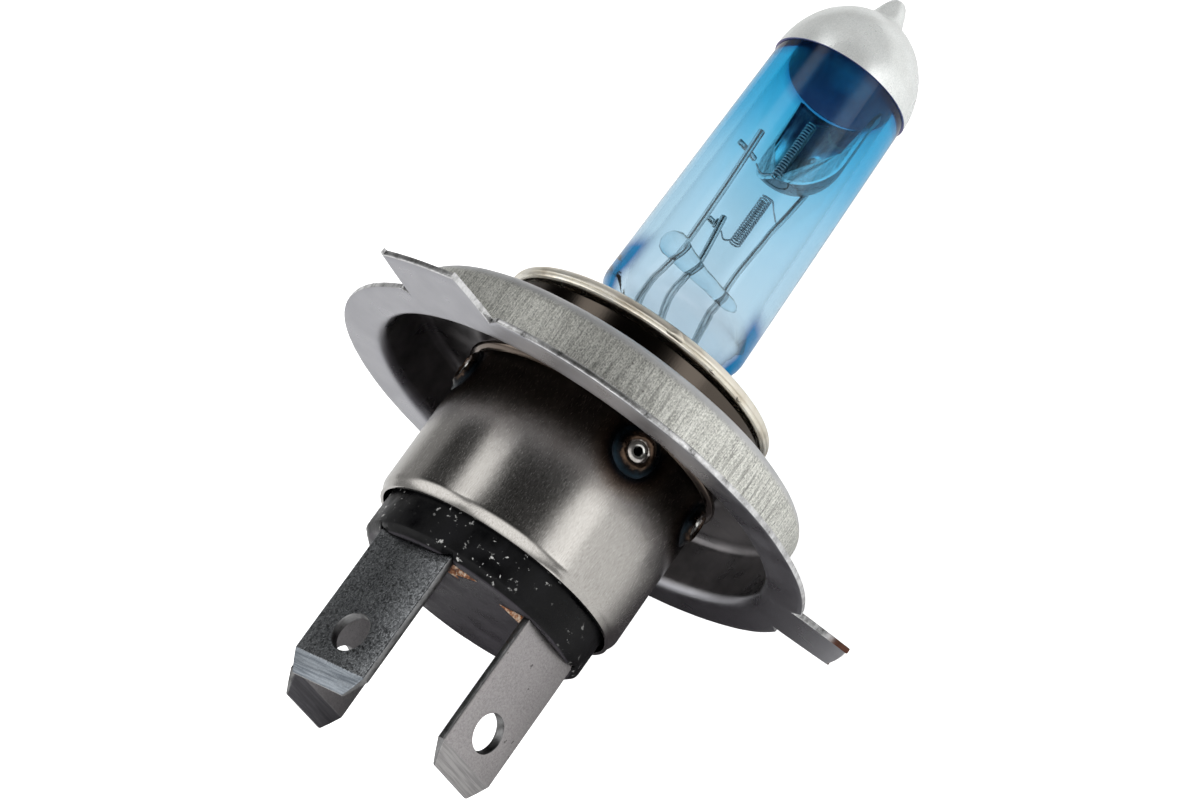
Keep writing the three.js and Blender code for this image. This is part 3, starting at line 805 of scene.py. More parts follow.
def flange_profile(outer):
    """The flange's closed section, for one outer radius, as (x, radius) points."""
    edge = RIM_EDGE
    root = CROWN_RADIUS + FOOT_FILLET
    inner_neck = NECK_RADIUS - SHEET
    steps = [blend(outer - edge, root, k / 6) for k in range(7)]
    wall = [blend(FOOT_FILLET, CROWN_TOP - CROWN_FILLET, k / 4) for k in (1, 2, 3)]
    crown = (CROWN_TOP - CROWN_FILLET, CROWN_RADIUS - CROWN_FILLET)
    neck = (CROWN_TOP + NECK_FILLET, NECK_RADIUS + NECK_FILLET)
    front = [
        *((0, radius) for radius in steps), *arc(FOOT_FILLET, root, FOOT_FILLET, 180, 270, 4)[1:],
        *((x, CROWN_RADIUS) for x in wall), *arc(*crown, CROWN_FILLET, 90, 0, 8),
        *arc(*neck, NECK_FILLET, 180, 270, 6),
    ]
    mouth = [(NECK_TOP - 0.15, NECK_RADIUS), (NECK_TOP, NECK_RADIUS - 0.15), (NECK_TOP, inner_neck + 0.1),
             (NECK_TOP - 0.1, inner_neck)]
    back = [
        *arc(*neck, NECK_FILLET + SHEET, 270, 180, 6), *arc(*crown, CROWN_FILLET - SHEET, 0, 90, 8),
        *((x, CROWN_RADIUS - SHEET) for x in reversed(wall)),
        *arc(FOOT_FILLET, root, FOOT_FILLET + SHEET, 270, 180, 6),
        *((-SHEET, radius) for radius in reversed(steps[:-1])),
    ]
    rim = [(-SHEET + edge * 0.3, outer - edge * 0.3), (-SHEET + edge, outer), (-SHEET / 2, outer),
           (-edge, outer), (-edge * 0.3, outer - edge * 0.3)]
    return [*front, *mouth, *back, *rim]


def make_flange(paint, edge, inside):
    rings = []
    for degrees in flange_angles():
        ring = []
        for x, radius in flange_profile(outline_radius(degrees)):
            point = around(x, radius, degrees)
            drift = ripple(point, 0.05, 7.0) + ripple(point, 0.012, 1.6, 5.0)
            limit = 0.4 if radius > BRIM_RADIUS else 1.0
            ring.append(point + Vector((min(drift * limit, 0.02), 0, 0)))
        rings.append(ring)
    piece = mesh_object("flange", loft(rings, close_loft=True), paint, edge, inside, sharp=40)
    paint_faces(piece, 2, hollow_side)
    paint_faces(piece, 1, rim_side)
    return mount(piece, "flange_steel", "mounting_flange")


def hollow_side(middle, normal):
    """Tells whether a face belongs to the flange's back."""
    turned_back = normal.x < -0.6 or normal.dot(outward(middle)) < -0.3
    return turned_back and off_axis(middle) < LUG_RADIUS - 0.1 and middle.x < NECK_TOP - 0.3


def rim_side(middle, normal):
    """Tells whether a face belongs to the sheared edge of the brim or a lug."""
    return abs(normal.x) < 0.5 and middle.x < -0.02 and off_axis(middle) > BRIM_RADIUS - 1.2


# ---- focusing collar and pinch clip -------------------------------------------------------------------

COLLAR_RADIUS = COLLAR_HIGH.z
COLLAR_FRONT = COLLAR_HIGH.x
SLEEVE_RADIUS = 10.2
MOUTH_RADIUS = 7.9


def make_collar(paint):
    back, front, outer = 8.5, COLLAR_FRONT, COLLAR_RADIUS
    groove = 8.98
    profile = [
        (COLLAR_LOW.x, SLEEVE_RADIUS), (back - 0.15, SLEEVE_RADIUS), (back, SLEEVE_RADIUS + 0.15),
        (back, outer - 0.75),
        *arc(back + 0.42, outer - 0.46, 0.42, 175, 100, 8),
        (groove - 0.05, outer - 0.03), (groove, outer - 0.08), (groove + 0.05, outer - 0.02),
        *arc(front - 0.72, outer - 0.72, 0.72, 84, 0, 12),
        (front - 0.02, outer - 1.1), (front - 0.14, 10.4), (front - 0.16, 9.4),
        (front - 0.05, MOUTH_RADIUS + 0.75),
        *arc(front - 0.4, MOUTH_RADIUS + 0.4, 0.4, 60, -90, 8),
        (front - 0.55, MOUTH_RADIUS - 0.01), (front - 2.2, MOUTH_RADIUS), (front - 2.2, MOUTH_RADIUS + 0.4),
        (front - 0.7, MOUTH_RADIUS + 0.42), (front - 0.62, SLEEVE_RADIUS - 0.6),
        (front - 0.9, SLEEVE_RADIUS - 0.4),
        (COLLAR_LOW.x, SLEEVE_RADIUS - 0.4),
    ]

    def bend(point):
        return point + outward(point) * min(ripple(point, 0.03, 6.0, 2.0), 0.0)

    body = lathe(profile, 256, bend)
    blobs = [burr(WELD_ANGLE, 9.15, 0.55, 0.3)] + [burr(angle, 8.75, 0.22, 0.16) for angle in BURR_ANGLES]
    piece = mesh_object("focusing_collar", joined(body, *blobs), paint, sharp=50)
    return mount(piece, "polished_nickel", "focusing_collar")


def burr(degrees, x, size, height):
    """A small flattened drop of weld metal on the collar's rim."""
    rings = []
    middle = around(x, COLLAR_RADIUS - 0.1, degrees)
    out = outward(middle)
    side = Vector((1, 0, 0)).cross(out)
    for k in range(7):
        angle = math.radians(-80 + 160 * k / 6)
        ring = []
        for i in range(16):
            t = 2 * math.pi * i / 16
            flat = size * math.cos(angle) * (1 + 0.18 * math.sin(3 * t + degrees))
            spread = math.cos(t) * side * 1.5 + math.sin(t) * Vector((0.7, 0, 0))
            ring.append(middle + out * height * math.sin(angle) + flat * spread)
        rings.append(ring)
    return capped(rings)


CLIP_X = 5.6
CLIP_WALL = 0.4
CLIP_RADIUS = 9.4
PINCH_HALF_WIDTH = 5.3
PINCH_HALF_THICK = 1.7
CLIP_GAP = 0.3


def rounded_plate(x, half_y, half_z, corner=0.35):
    """The outline of a rounded rectangle across the axis, at one x."""
    points = []
    for quarter, (sy, sz) in enumerate(((1, 1), (-1, 1), (-1, -1), (1, -1))):
        for k in range(5):
            angle = math.radians(90 * quarter + 22.5 * k)
            points.append(Vector((x, sy * (half_y - corner) + corner * math.cos(angle),
                                  sz * (half_z - corner) + corner * math.sin(angle))))
    return points


def make_clip(paint):
    rim = CLIP_HIGH.x
    cup = lathe([
        (CLIP_X, 0.0), (CLIP_X, CLIP_RADIUS - 0.5), (CLIP_X + 0.15, CLIP_RADIUS - 0.12),
        (CLIP_X + 0.45, CLIP_RADIUS), (rim - 0.05, CLIP_RADIUS), (rim, CLIP_RADIUS - 0.08),
        (rim, CLIP_RADIUS - CLIP_WALL + 0.05), (CLIP_X + 0.75, CLIP_RADIUS - CLIP_WALL),
        (CLIP_X + CLIP_WALL, CLIP_RADIUS - 0.85), (CLIP_X + CLIP_WALL, 0.0),
    ], 96)
    piece = mesh_object("pinch_clip", cup, paint)
    half_y, half_z = PINCH_HALF_THICK + CLIP_GAP, PINCH_HALF_WIDTH + CLIP_GAP
    window = capped([rounded_plate(x, half_y, half_z) for x in (CLIP_X - 1, CLIP_X + 1)])
    cut_with(piece, [mesh_object("window", window)])
    cheeks = []
    for side in (-1, 1):
        rows = [(CLIP_LOW.x, 0.35), (CLIP_LOW.x + 0.5, 0.05), (CLIP_LOW.x + 3, 0.0), (CLIP_X - 0.4, 0.0),
                (CLIP_X + 0.1, 0.15), (CLIP_X + 0.3, 0.6)]
        rings = []
        for x, flare in rows:
            inner = half_y + flare
            outer = inner + CLIP_WALL * 0.9
            z = half_z - 0.3
            ring = [(inner, -z), (inner, z), (outer - 0.1, z), (outer, z - 0.1), (outer, 0.1 - z),
                    (outer - 0.1, -z)]
            rings.append([Vector((x, side * y, w)) for y, w in ring])
        cheeks.append(capped(rings))
    legs = mesh_object("clip_cheeks", joined(*cheeks), paint, sharp=30)
    join_into(piece, legs)
    piece.data.transform(BURNER_TURN.to_4x4())
    return mount(piece, "spring_steel", "pinch_clip")


# ---- barrel, eyelets, insulator and terminals ---------------------------------------------------------

BARREL_WALL = 0.4
BARREL_CURL = 1.1
BEAD = (1.9, 3.0)
EYELET_PIT = 0.42


def make_barrel(paint):
    back, front = BARREL_LOW.x, BARREL_HIGH.x
    radius = BARREL_RADIUS
    inside = radius - BARREL_WALL
    curl = arc(back + BARREL_CURL, radius - BARREL_CURL, BARREL_CURL, 180 - 52, 90, 8)
    tip_r = curl[0][1]
    bead_back, bead_front = BEAD
    straight = [(blend(back + BARREL_CURL, bead_back, k / 16), radius) for k in range(1, 16)]
    profile = [
        (back + 0.02, tip_r - 0.34), (back, tip_r - 0.2), (back + 0.03, tip_r - 0.06), *curl, *straight,
        (bead_back, radius), (bead_back + 0.12, radius + 0.03), (bead_back + 0.3, BEAD_RADIUS - 0.16),
        (bead_back + 0.45, BEAD_RADIUS - 0.02), ((bead_back + bead_front) / 2, BEAD_RADIUS),
        (bead_front - 0.4, BEAD_RADIUS - 0.04), (bead_front - 0.1, radius + 0.08), (bead_front + 0.1, radius),
        (front, radius), (front, inside), (bead_front, inside), (bead_back, inside),
        (back + BARREL_CURL, inside), (back + 0.45, inside - 0.2), (back + 0.25, tip_r - 0.42),
    ]

    def bend(point):
        return point + outward(point) * (ripple(point, 0.05, 6.0, 9.0) + ripple(point, 0.015, 2.0, 4.0))

    piece = mesh_object("base_barrel", lathe(profile, 256, bend), paint, sharp=45)
    pits = []
    for degrees in EYELET_ANGLES:
        inner, outer = around(EYELET_X, inside - 0.5, degrees), around(EYELET_X, radius + 1, degrees)
        pits.append(mesh_object("pit", tube([inner, outer], EYELET_PIT, 24, 0.05), paint))
    cut_with(piece, pits)
    return mount(piece, "barrel_steel", "base_barrel")


# An eyelet's section as (distance from its middle, height over the barrel).
EYELET_SECTION = [
    (0.0, -0.25), (0.28, -0.24), (0.34, 0.0), (0.40, 0.22), (0.50, 0.30), (0.62, 0.31), (0.74, 0.24),
    (0.84, 0.20), (0.94, 0.28), (1.06, 0.42), (1.20, 0.47), (1.34, 0.40), (1.50, 0.22), (1.70, 0.12),
    (1.95, 0.07), (2.15, -0.06), (1.6, -0.14), (0.9, -0.14), (0.5, -0.4), (0.0, -0.42),
]


def make_eyelet(index, degrees, paint):
    sides = 48
    rings = []
    for i in range(sides):
        t = 2 * math.pi * i / sides
        ring = []
        for reach, height in EYELET_SECTION:
            wobble = 1 + 0.05 * noise.noise(Vector((math.cos(t) * 1.5, math.sin(t) * 1.5, index * 3.1)))
            spread = reach * wobble if reach > 1.0 else reach
            x = EYELET_X + spread * math.cos(t)
            turn = degrees + math.degrees(spread * math.sin(t) / BARREL_RADIUS)
            bulge = noise.noise(Vector((3 * math.cos(t), 3 * math.sin(t), index * 7.7)))
            lift = 0.14 * max(0.0, bulge) if 0.9 < reach < 1.6 else 0.0
            ring.append(around(x, BARREL_RADIUS + height + lift, turn))
        rings.append(ring)
    piece = mesh_object(f"weld_eyelet_{index}", loft(rings, close_loft=True), paint, sharp=50)
    return mount(piece, "weld_steel", f"weld_eyelet_{index}")


INSULATOR_RADIUS = INSULATOR_HIGH.z
CHAMFER = 0.6
SLOT_GAP = 0.1
BLADE_THICK = 0.8
TOP_OFFSET = 8.4
SIDE_OFFSET = 8.3
TERMINALS = [("terminal_top", 0), ("terminal_right", 90), ("terminal_left", -90)]


def blade_frame(name, degrees):
    """A blade's offset from the axis, half width, and the middle of its across direction."""
    low, high = extent(name)
    if degrees == 0:
        return TOP_OFFSET, (high.y - low.y) / 2, (high.y + low.y) / 2
    middle = (high.z + low.z) / 2
    return SIDE_OFFSET, (high.z - low.z) / 2, middle * (1 if degrees > 0 else -1)


def blade_point(x, across, out, degrees):
    """A point at an x, an across place along +Y turned by the blade's angle, and a height over the axis."""
    turn = Matrix.Rotation(math.radians(degrees), 3, "X")
    return turn @ Vector((x, across, out))


def slab(x0, x1, across0, across1, out0, out1, degrees):
    rings = []
    for x in (x0, x1):
        rings.append([blade_point(x, a, o, degrees)
                      for a, o in ((across0, out0), (across1, out0), (across1, out1), (across0, out1))])
    return capped(rings)


def wedge_pit(degrees, across, out, turn, paint):
    """A three-sided recess beside a blade, cut into the insulator's back face."""
    size = 1.7
    rings = []
    for depth, scale in ((-0.4, 1.25), (0.0, 1.0), (0.55, 0.45)):
        ring = []
        for k in range(3):
            a = math.radians(120 * k + turn)
            ring.append(blade_point(INSULATOR_LOW.x + depth, across + size * scale * math.cos(a),
                                    out + 0.8 * size * scale * math.sin(a), degrees))
        rings.append(ring)
    return mesh_object("wedge", capped(rings), paint)


def make_insulator(paint, pit):
    back, front, radius = INSULATOR_LOW.x, INSULATOR_HIGH.x, INSULATOR_RADIUS
    rows = [(back, radius * k / 10) for k in range(1, 9)]
    side = [(blend(back + CHAMFER, front, k / 12), radius) for k in range(1, 12)]
    profile = [(back, 0.0), *rows, (back, radius - CHAMFER - 0.1), (back + 0.04, radius - CHAMFER),
               (back + CHAMFER - 0.06, radius - 0.03), (back + CHAMFER + 0.05, radius), *side,
               (front, radius), (front, 0.0)]

    def chip(point):
        if off_axis(point) <= radius - 1.0:
            return point
        chips = noise.noise(point * 0.9 + Vector((4.0, 8.0, 1.0)))
        return point - outward(point) * (0.16 * max(0.0, chips - 0.22) + ripple(point, 0.03, 3.0))

    piece = mesh_object("insulator_disc", lathe(profile, 224, chip), paint, pit, sharp=40)
    tools = []
    for name, degrees in TERMINALS:
        offset, half, middle = blade_frame(name, degrees)
        reach, spread = BLADE_THICK / 2 + SLOT_GAP, half + SLOT_GAP
        slot = slab(back - 1, front + 1, middle - spread, middle + spread, offset - reach, offset + reach,
                    degrees)
        tools.append(mesh_object("slot", slot, paint))
    offset, half, middle = blade_frame("terminal_top", 0)
    tools.append(wedge_pit(0, middle - half + 0.15, offset - 1.6, 200, pit))
    tools.append(wedge_pit(0, middle - half + 1.9, offset - 1.9, 250, pit))
    offset, half, middle = blade_frame("terminal_right", 90)
    tools.append(wedge_pit(90, middle + half - 0.5, offset - 1.5, 70, pit))
    tools.append(wedge_pit(-90, -middle - half + 1.0, offset - 1.5, 110, pit))
    cut_with(piece, tools)
    return mount(piece, "black_insulator", "insulator_disc")


BLADE_TIP = BLADE_LOW.x
BLADE_HOLE_X = -22.8
BLADE_HOLE_RADIUS = 1.6
BLADE_CUT = (1.8, 1.0)
BLADE_SHOULDER = -9.6
ROOT_THICK = 0.6
TANG_HALF = 1.5
BLADE_ROUNDING = 0.17


def blade_section(half, thick):
    """Across and height points of a blade's section with rounded long edges."""
    h = thick / 2
    edge = min(BLADE_ROUNDING, h * 0.8)
    corners = []
    for quarter, (sa, so) in enumerate(((1, 1), (-1, 1), (-1, -1), (1, -1))):
        for k in range(4):
            angle = math.radians(90 * quarter + 30 * k)
            corners.append((sa * (half - edge) + edge * math.cos(angle),
                            so * (h - edge) + edge * math.sin(angle)))
    return corners


def make_blade(name, degrees, face_paint, edge, slot):
    offset, half, middle = blade_frame(name, degrees)
    cut_length, cut_width = BLADE_CUT
    tip = BLADE_TIP
    rows = [
        (tip, half - cut_width - 0.1, 0.22), (tip + 0.07, half - cut_width, 0.30),
        (tip + cut_length * 0.5, half - cut_width * 0.48, 0.55),
        (tip + cut_length - 0.02, half - 0.02, BLADE_THICK - 0.01), (tip + cut_length, half, BLADE_THICK),
        (tip + cut_length + 0.3, half, BLADE_THICK),
    ]
    straight = tip + cut_length + 0.3
    rows += [(blend(straight, INSULATOR_LOW.x, k / 14), half, BLADE_THICK) for k in range(1, 15)]
    rows += [(INSULATOR_LOW.x + 0.15, half, ROOT_THICK), (BLADE_SHOULDER, half, ROOT_THICK),
             (BLADE_SHOULDER + 0.05, TANG_HALF, ROOT_THICK), (BLADE_HIGH.x, TANG_HALF, ROOT_THICK)]
    rings = []
    for x, width, thick in rows:
        ring = []
        for across, out in blade_section(width, thick):
            point = blade_point(x, middle + across, offset + out, degrees)
            ring.append(point + blade_point(0, 0, ripple(point, 0.05, 6.0, 3.0), degrees))
        rings.append(ring)
    piece = mesh_object(name, capped(rings), face_paint, edge, sharp=28)
    bore = [(-0.6, BLADE_HOLE_RADIUS + 0.12), (-BLADE_THICK / 2 + 0.06, BLADE_HOLE_RADIUS),
            (BLADE_THICK / 2 - 0.06, BLADE_HOLE_RADIUS), (0.6, BLADE_HOLE_RADIUS + 0.22)]
    turns = [2 * math.pi * i / 64 for i in range(64)]
    rings = [[blade_point(BLADE_HOLE_X + radius * math.cos(t), middle + radius * math.sin(t), offset + out,
                          degrees) for t in turns] for out, radius in bore]
    cut_with(piece, [mesh_object("hole", capped(rings), edge)])
    face_way = blade_point(0, 0, 1, degrees)
    paint_faces(piece, 1, lambda _, normal: abs(normal.dot(face_way)) < 0.42)
    piece.data.set_sharp_from_angle(angle=math.radians(34))
    crease = tip + cut_length
    attributes = piece.data.attributes
    flags = attributes.get("sharp_edge") or attributes.new("sharp_edge", "BOOLEAN", "EDGE")
    for line in piece.data.edges:
        ends = [piece.data.vertices[i].co.x / MM for i in line.vertices]
        if all(abs(x - crease) < 0.012 for x in ends):
            flags.data[line.index].value = True
    return mount(piece, slot, name)


# ---- glass envelope, bridge and end coating -----------------------------------------------------------

PINCH_FRONT = 10.0
TUBE_BACK = 14.2
TUBE_RADIUS = GLASS_HIGH.z
CAP_BACK = CAP_LOW.x
CAP_RADIUS = CAP_HIGH.z
TUBE_WALL = 0.8
COAT = 0.16
COAT_GAP = -0.02
DOME_LENGTH = 7.1
CAVITY_BACK = 12.3
PIP_RADIUS = 0.85


def oval(x, half_p, half_q, square, sides=112):
    """A ring across the burner: an ellipse at square 1, nearly a rectangle as square nears 0."""
    def power(value):
        return math.copysign(abs(value) ** square, value)
    angles = [2 * math.pi * i / sides for i in range(sides)]
    return [burner_point(x, half_p * power(math.sin(t)), half_q * power(math.cos(t))) for t in angles]


def dome_profile(inset):
    """The dome and the exhaust pip, set in by an inset, as (x, radius) points."""
    points = []
    for k in range(20):
        t = math.radians(4.1 * k)
        points.append((CAP_BACK + (DOME_LENGTH - inset) * math.sin(t), (CAP_RADIUS - inset) * math.cos(t)))
    tip = CAP_HIGH.x - inset
    pip = PIP_RADIUS - inset
    end = CAP_HIGH.x
    return [*points[:-3], (end - 2.76, 1.98 - inset), (end - 2.5, 1.68 - inset), (end - 2.1, 1.46 - inset),
            (end - 1.6, pip + 0.42), (end - 1.1, pip + 0.26), (tip - 0.75, pip + 0.1),
            (tip - 0.42, pip - 0.08), (tip - 0.18, pip * 0.66), (tip - 0.05, pip * 0.36), (tip, 0.0)]


def make_glass(outer_paint, inner_paint):
    rings = []
    for k in range(36):
        x = blend(GLASS_LOW.x, TUBE_BACK, k / 35)
        t = ease(x, PINCH_FRONT, TUBE_BACK)
        rings.append(oval(x, blend(PINCH_HALF_WIDTH, TUBE_RADIUS, t), blend(PINCH_HALF_THICK, TUBE_RADIUS, t),
                          blend(0.28, 1.0, ease(x, PINCH_FRONT - 1.0, TUBE_BACK - 1))))
    inset = COAT + COAT_GAP
    for k in range(1, 20):
        t = k / 20
        x = blend(TUBE_BACK, CAP_BACK, t)
        radius = blend(TUBE_RADIUS, CAP_RADIUS - inset, t)
        rings.append(oval(x, radius, radius, 1.0))
    for x, radius in dome_profile(inset)[:-1]:
        rings.append(oval(x, max(radius, 0.02), max(radius, 0.02), 1.0))
    outside = capped(rings)
    inner = CAP_RADIUS - COAT - TUBE_WALL
    tube_inner = TUBE_RADIUS - TUBE_WALL
    hollow = []
    for x, p, q, square in (
            (0, 2.2, 0.15, 1.0), (0.08, 3.6, 0.35, 0.9), (0.35, 4.5, 0.75, 0.85), (0.9, 4.9, 1.5, 0.85),
            (1.6, 5.15, 2.7, 0.9), (2.3, 5.4, 4.0, 0.95), (3.0, 5.52, 4.9, 1.0),
            (3.8, tube_inner - 0.08, 5.5, 1.0), (4.8, tube_inner, tube_inner, 1.0)):
        hollow.append(oval(CAVITY_BACK + x, p, q, square))
    for k in range(1, 17):
        radius = blend(tube_inner, inner, k / 16)
        hollow.append(oval(blend(CAVITY_BACK + 4.8, CAP_BACK, k / 16), radius, radius, 1.0))
    for k in range(1, 15):
        t = math.radians(6.2 * k)
        radius = inner * math.cos(t)
        hollow.append(oval(CAP_BACK + (DOME_LENGTH - 1.15) * math.sin(t), radius, radius, 1.0))
    cavity = capped(hollow)
    piece = mesh_object("glass_envelope", outside, outer_paint, inner_paint, sharp=60)
    hole = mesh_object("cavity", cavity, inner_paint, sharp=60)
    hole.data.flip_normals()
    join_into(piece, hole)
    return mount(piece, "blue_glass", "glass_envelope")


def make_cap(paint, inside_paint):
    middle_radius = CAP_RADIUS - COAT * 0.5
    profile = [*reversed(dome_profile(COAT)), (CAP_BACK, middle_radius), *dome_profile(0.0)]

    def grain(point):
        if off_axis(point) < 0.2:
            return point
        return point + outward(point) * min(ripple(point, 0.03, 1.8, 3.0), 0.02)

    piece = mesh_object("silver_end_cap", lathe(profile, 192, grain), paint, inside_paint, sharp=55)
    focus = Vector((CAP_BACK - 3, 0, 0))

    def inward(middle, normal):
        at_edge = middle.x < CAP_BACK + 0.05 and off_axis(middle) < middle_radius
        return at_edge or normal.dot(middle - focus) < 0

    paint_faces(piece, 1, inward)
    return mount(piece, "silver_coating", "silver_end_cap")


BRIDGE_X = 17.55
BRIDGE_RADIUS = 1.2
BRIDGE_SPAN = (-4.15, 5.1)
BRIDGE_SLOPE = 0.24


def make_bridge(paint):
    low, high = BRIDGE_SPAN
    path, sizes = [], []
    for k in range(41):
        p = blend(low + BRIDGE_RADIUS, high - BRIDGE_RADIUS, k / 40)
        swelling = 0.09 * abs(2 * k / 40 - 1) ** 6 + 0.015 * math.sin(0.5 * k)
        path.append(burner_point(BRIDGE_X + BRIDGE_SLOPE * p, p))
        sizes.append(BRIDGE_RADIUS * (1 + swelling))
    piece = mesh_object("quartz_bridge", tube(path, sizes, 40, 0.95), paint, sharp=70)
    return mount(piece, "clear_quartz", "quartz_bridge")


# ---- wires, foils, leads, filaments and shield --------------------------------------------------------

WIRE = 0.3
ROUTES = {
    "low": [(6.9, 3.2), (12, 3.2), (14.5, 3.25), (17, 3.3), (19.4, 3.3), (25, 3.4), (30.8, 3.65)],
    "high": [(6.9, 0.3), (11.5, 0.4), (14, 0.95), (16.6, 1.25), (19.4, 1.25), (23.4, 1.85)],
    "common": [(6.9, -2.75), (12, -2.75), (14, -2.65), (16, -2.6), (18.2, -2.5), (20.8, -2.55), (24, -2.85),
               (25.8, -3.0), (27.6, -3.35), (30.2, -3.75)],
}
FOIL_P = {"low": 3.2, "high": 0.3, "common": -2.75}
CROSS_PINS = {"low_beam_cross_pin": (29.1, 2.4, 4.4), "high_beam_cross_pin": (22.7, 1.3, 2.6)}
PIN_Q = 0.7


def make_wire(name, route, paint):
    path = smooth_path([burner_point(x, p) for x, p in route], 8)
    piece = mesh_object(f"{name}_wire", tube(path, WIRE, 18, 0.35), paint, sharp=40)
    return mount(piece, "molybdenum", f"{name}_wire")


def make_foil(name, p, paint):
    low, high = extent(f"{name}_foil")
    rings = []
    for k in range(17):
        x = blend(low.x, high.x, k / 16)
        wave = 0.03 * math.sin(k * 1.1)
        half, thick = 0.9, 0.05
        ring = [(-half, 0.0), (-half * 0.6, thick), (half * 0.6, thick), (half, 0.0), (half * 0.6, -thick),
                (-half * 0.6, -thick)]
        rings.append([burner_point(x, p + a, q + wave) for a, q in ring])
    piece = mesh_object(f"{name}_foil", capped(rings), paint, sharp=20)
    return mount(piece, "molybdenum", f"{name}_foil")


LEAD_RADIUS = 0.4


def make_lead(name, p, terminal, degrees, paint):
    """An outer lead from its foil, out of the pinch and across to its terminal's tang."""
    offset, _, middle = blade_frame(terminal, degrees)
    reach = offset - BLADE_THICK / 2 - 0.3 - LEAD_RADIUS
    stops = ((GLASS_LOW.x - 2, reach * 0.75), (BLADE_HIGH.x - 0.2, reach), (BLADE_HIGH.x - 1.6, reach))
    tang = [blade_point(x, middle, out, degrees) for x, out in stops]
    points = [burner_point(0.3, p), burner_point(GLASS_LOW.x, p), *tang]
    piece = mesh_object(f"{name}_lead", tube(smooth_path(points, 10), LEAD_RADIUS, 18, 0.4), paint)
    return mount(piece, "molybdenum", f"{name}_lead")


FILAMENT = 0.075
LOW_COIL = (29.1, 34.6, 0.42, 20, 0.0, 0.0)
HIGH_COIL = (22.6, 27.3, 0.5, 20, -0.6, 0.1)


def make_filament(name, coil, back_leg, front_leg, paint):
    back, front, radius, turns, p, q = coil
    steps = 20
    turn_points = []
    for i in range(turns * steps + 1):
        t = 2 * math.pi * i / steps
        x = blend(back, front, i / (turns * steps))
        turn_points.append(burner_point(x, p + radius * math.cos(t), q + radius * math.sin(t)))
    leg_in = smooth_path([*(burner_point(x, pp, qq) for x, qq, pp in back_leg), turn_points[0]], 10)[:-1]
    leg_out = smooth_path([turn_points[-1], *(burner_point(x, pp, qq) for x, qq, pp in front_leg)], 10)[1:]
    path = [*leg_in, *turn_points, *leg_out]
    piece = mesh_object(name, tube(path, FILAMENT, 8, 0.5), paint, sharp=60)
    return mount(piece, "tungsten", name)


def make_cross_pin(name, x, start, end, paint):
    """A short pin across a wire, with the bead of its weld."""
    path = [burner_point(x, blend(start, end, k / 6), PIN_Q - 0.08 * math.sin(math.pi * k / 6))
            for k in range(7)]
    pin = tube(path, 0.25, 16, 0.5)
    bead_path = [burner_point(x + 0.34 * s, (start + end) / 2, PIN_Q * 0.55) for s in (-1, 0, 1)]
    bead = tube(bead_path, [0.16, 0.3, 0.16], 12, 0.6)
    piece = mesh_object(name, joined(pin, bead), paint, sharp=60)
    return mount(piece, "molybdenum", name)


SHIELD_RADIUS = 4.5
SHIELD_WALL = 0.26
SHIELD_X = (29.0, 37.6)
SHIELD_FILLET = 3.2
SHIELD_RIMS = (98, 252)
DIMPLES = [(31.6, 172), (31.6, 191), (33.4, 172), (33.4, 191)]


def make_shield(paint, outside):
    """An open half cup under the low-beam filament, with rolled rims and weld dimples; its outside faces
    take a darker copy of the metal as painted shade.
    """
    back, front = SHIELD_X
    radius, wall, fillet = SHIELD_RADIUS, SHIELD_WALL, SHIELD_FILLET
    along = [(back, radius * 0.02 * k) for k in (1, 8, 16)]
    along += arc(back + fillet, radius - fillet, fillet, 180, 90, 12)
    along += [(back + fillet + (front - back - fillet) * k / 24, radius) for k in range(1, 25)]
    first, last = SHIELD_RIMS
    columns = 72
    rings = []
    for i in range(columns + 1):
        degrees = blend(first, last, i / columns)
        near_edge = min(i, columns - i) / columns
        outer, inner = [], []
        for k, (x, r) in enumerate(along):
            lip = 0.22 * (1 - ease(near_edge, 0.0, 0.03)) + 0.16 * (1 - ease(front - x, 0.0, 0.5))
            dent = 0.0
            for dimple_x, dimple_angle in DIMPLES:
                away = math.hypot(x - dimple_x, math.radians(degrees - dimple_angle) * radius)
                dent += 0.2 * (ease(away, 0.0, 0.3) - ease(away, 0.36, 0.7))
            r_here = r + lip * min(r / radius, 1.0)
            outer.append(around(x, r_here + dent, degrees))
            depth = (x - back) / fillet
            ahead = wall * (1 if k < 3 else max(0.0, 1 - depth))
            inner.append(around(x + ahead, max(r_here - wall * min(1.0, depth + 0.1) + dent, 0.02), degrees))
        rings.append([*outer, *reversed(inner)])
    piece = mesh_object("low_beam_shield", capped(rings), paint, outside, sharp=45)
    focus = Vector(((back + front) / 2, 0, 0))
    # Outside faces take the darker paint, which is painted shade.
    paint_faces(piece, 1, lambda middle, normal: normal.dot(middle - focus) > 0.3)
    return mount(piece, "shield_metal", "low_beam_shield")


# Half the floor's side in metres, and its gap under the brim in mm.
FLOOR_HALF = 3.0
FLOOR_GAP = 0.2


def make_floor():
    """A pale floor just under the lowest point of the brim."""
    size, level = FLOOR_HALF, (FLANGE_LOW.z - FLOOR_GAP) * MM
    mesh = bpy.data.meshes.new("floor")
    corners = [(-size, -size, level), (size, -size, level), (size, size, level), (-size, size, level)]
    mesh.from_pydata(corners, [], [(0, 1, 2, 3)])
    mesh.materials.append(floor_paint())
    floor = bpy.data.objects.new("floor", mesh)
    bpy.context.scene.collection.objects.link(floor)


# ---- the scene ----------------------------------------------------------------------------------------

make_camera()
make_studio()
make_floor()
area_light("top_light", -110, 58, 0.6, 0.4, 2.3)

bpy.context.scene.view_settings.view_transform = "Standard"

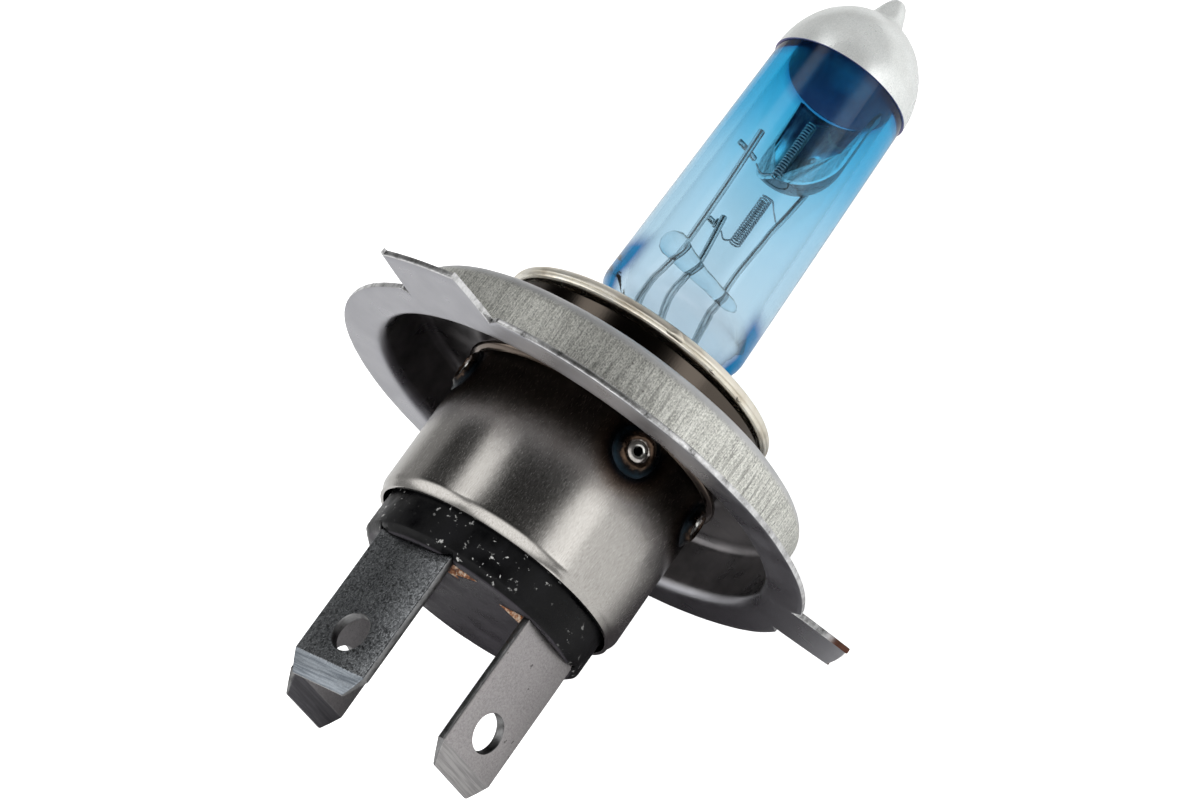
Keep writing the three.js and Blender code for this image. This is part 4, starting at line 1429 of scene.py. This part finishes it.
# Blade edges are darkened to 0.28 as painted shade on their shadowed sides.
blade_edge = edge_paint("blade_edge", 0.28)
flange_edge = edge_paint("flange_edge", 1.0)
nickel = nickel_paint()
spring_steel = drawn_metal_paint("spring_steel", rgb(130, 128, 124), rgb(190, 188, 184), 0.28, (3, 3, 3))
molybdenum = drawn_metal_paint("molybdenum", rgb(160, 168, 170), rgb(206, 212, 214), 0.18)
lead_metal = drawn_metal_paint("lead_metal", rgb(140, 138, 134), rgb(196, 194, 190), 0.3)
tungsten = drawn_metal_paint("tungsten", rgb(150, 152, 156), rgb(196, 198, 202), 0.3, (4, 4, 4))
# The shield's outside is a darker copy of the shield metal: painted shade on its down-facing side.
shield_outside = drawn_metal_paint("shield_outside", rgb(92, 100, 108), rgb(128, 138, 146), 0.25,
                                   (0.5, 1.5, 1.5))
shield_metal = drawn_metal_paint("shield_metal", rgb(212, 216, 218), rgb(238, 242, 244), 0.12,
                                 (0.5, 1.5, 1.5))

make_flange(flange_paint(), flange_edge, flange_inside_paint())
make_collar(nickel)
make_clip(spring_steel)
make_barrel(barrel_paint())
weld = weld_paint()
for number, angle in enumerate(EYELET_ANGLES, 1):
    make_eyelet(number, angle, weld)
make_insulator(insulator_paint(), pit_paint())
# The top blade's lighter, bluish tip tones are a painted reflection on its bevel.
grainy = blade_paint("grainy_blade", rgb(14, 15, 17), rgb(180, 183, 186),
                     (rgb(104, 110, 117), rgb(142, 148, 154)), 0.10, 0.24)
satin = blade_paint("satin_blade", rgb(142, 139, 139), rgb(180, 176, 176),
                    (rgb(142, 140, 140), rgb(166, 164, 163)), 0.2, 0.40)
# The left blade's paint is a darker copy of the satin paint as painted shade, with its tip darker still as
# painted shade.
shaded = blade_paint("shaded_blade", rgb(118, 116, 117), rgb(148, 145, 146),
                     (rgb(76, 75, 78), rgb(88, 87, 90)), 0.2, 0.40)
make_blade("terminal_top", 0, grainy, blade_edge, "grainy_blade")
make_blade("terminal_right", 90, satin, blade_edge, "satin_blade")
make_blade("terminal_left", -90, shaded, blade_edge, "satin_blade")
make_glass(blue_glass_paint(), clear_glass_paint("clear_wall", (0.97, 0.985, 1.0, 1.0), 0.0005))
make_cap(silver_paint(), coat_inside_paint())
make_bridge(clear_glass_paint("clear_quartz", (0.78, 0.88, 0.92, 1.0), 0.05))
OUTER_ENDS = {"low": ("terminal_top", 0), "high": ("terminal_right", 90), "common": ("terminal_left", -90)}
for circuit, route in ROUTES.items():
    make_wire(circuit, route, molybdenum)
    make_foil(circuit, FOIL_P[circuit], molybdenum)
    make_lead(circuit, FOIL_P[circuit], *OUTER_ENDS[circuit], lead_metal)
make_filament("low_beam_filament", LOW_COIL, [(28.9, 0.6, 2.0), (28.6, 0.4, 1.2)],
              [(35.2, 0.5, -0.6), (36.9, 2.3, -3.0)], tungsten)
make_filament("high_beam_filament", HIGH_COIL, [(22.7, 0.6, 0.95), (22.3, 0.4, 0.4)],
              [(27.6, 0.1, -1.2), (27.15, 0.1, -1.9), (26.6, 0.05, -2.75)], tungsten)
for pin_name, (pin_x, pin_start, pin_end) in CROSS_PINS.items():
    make_cross_pin(pin_name, pin_x, pin_start, pin_end, molybdenum)
make_shield(shield_metal, shield_outside)
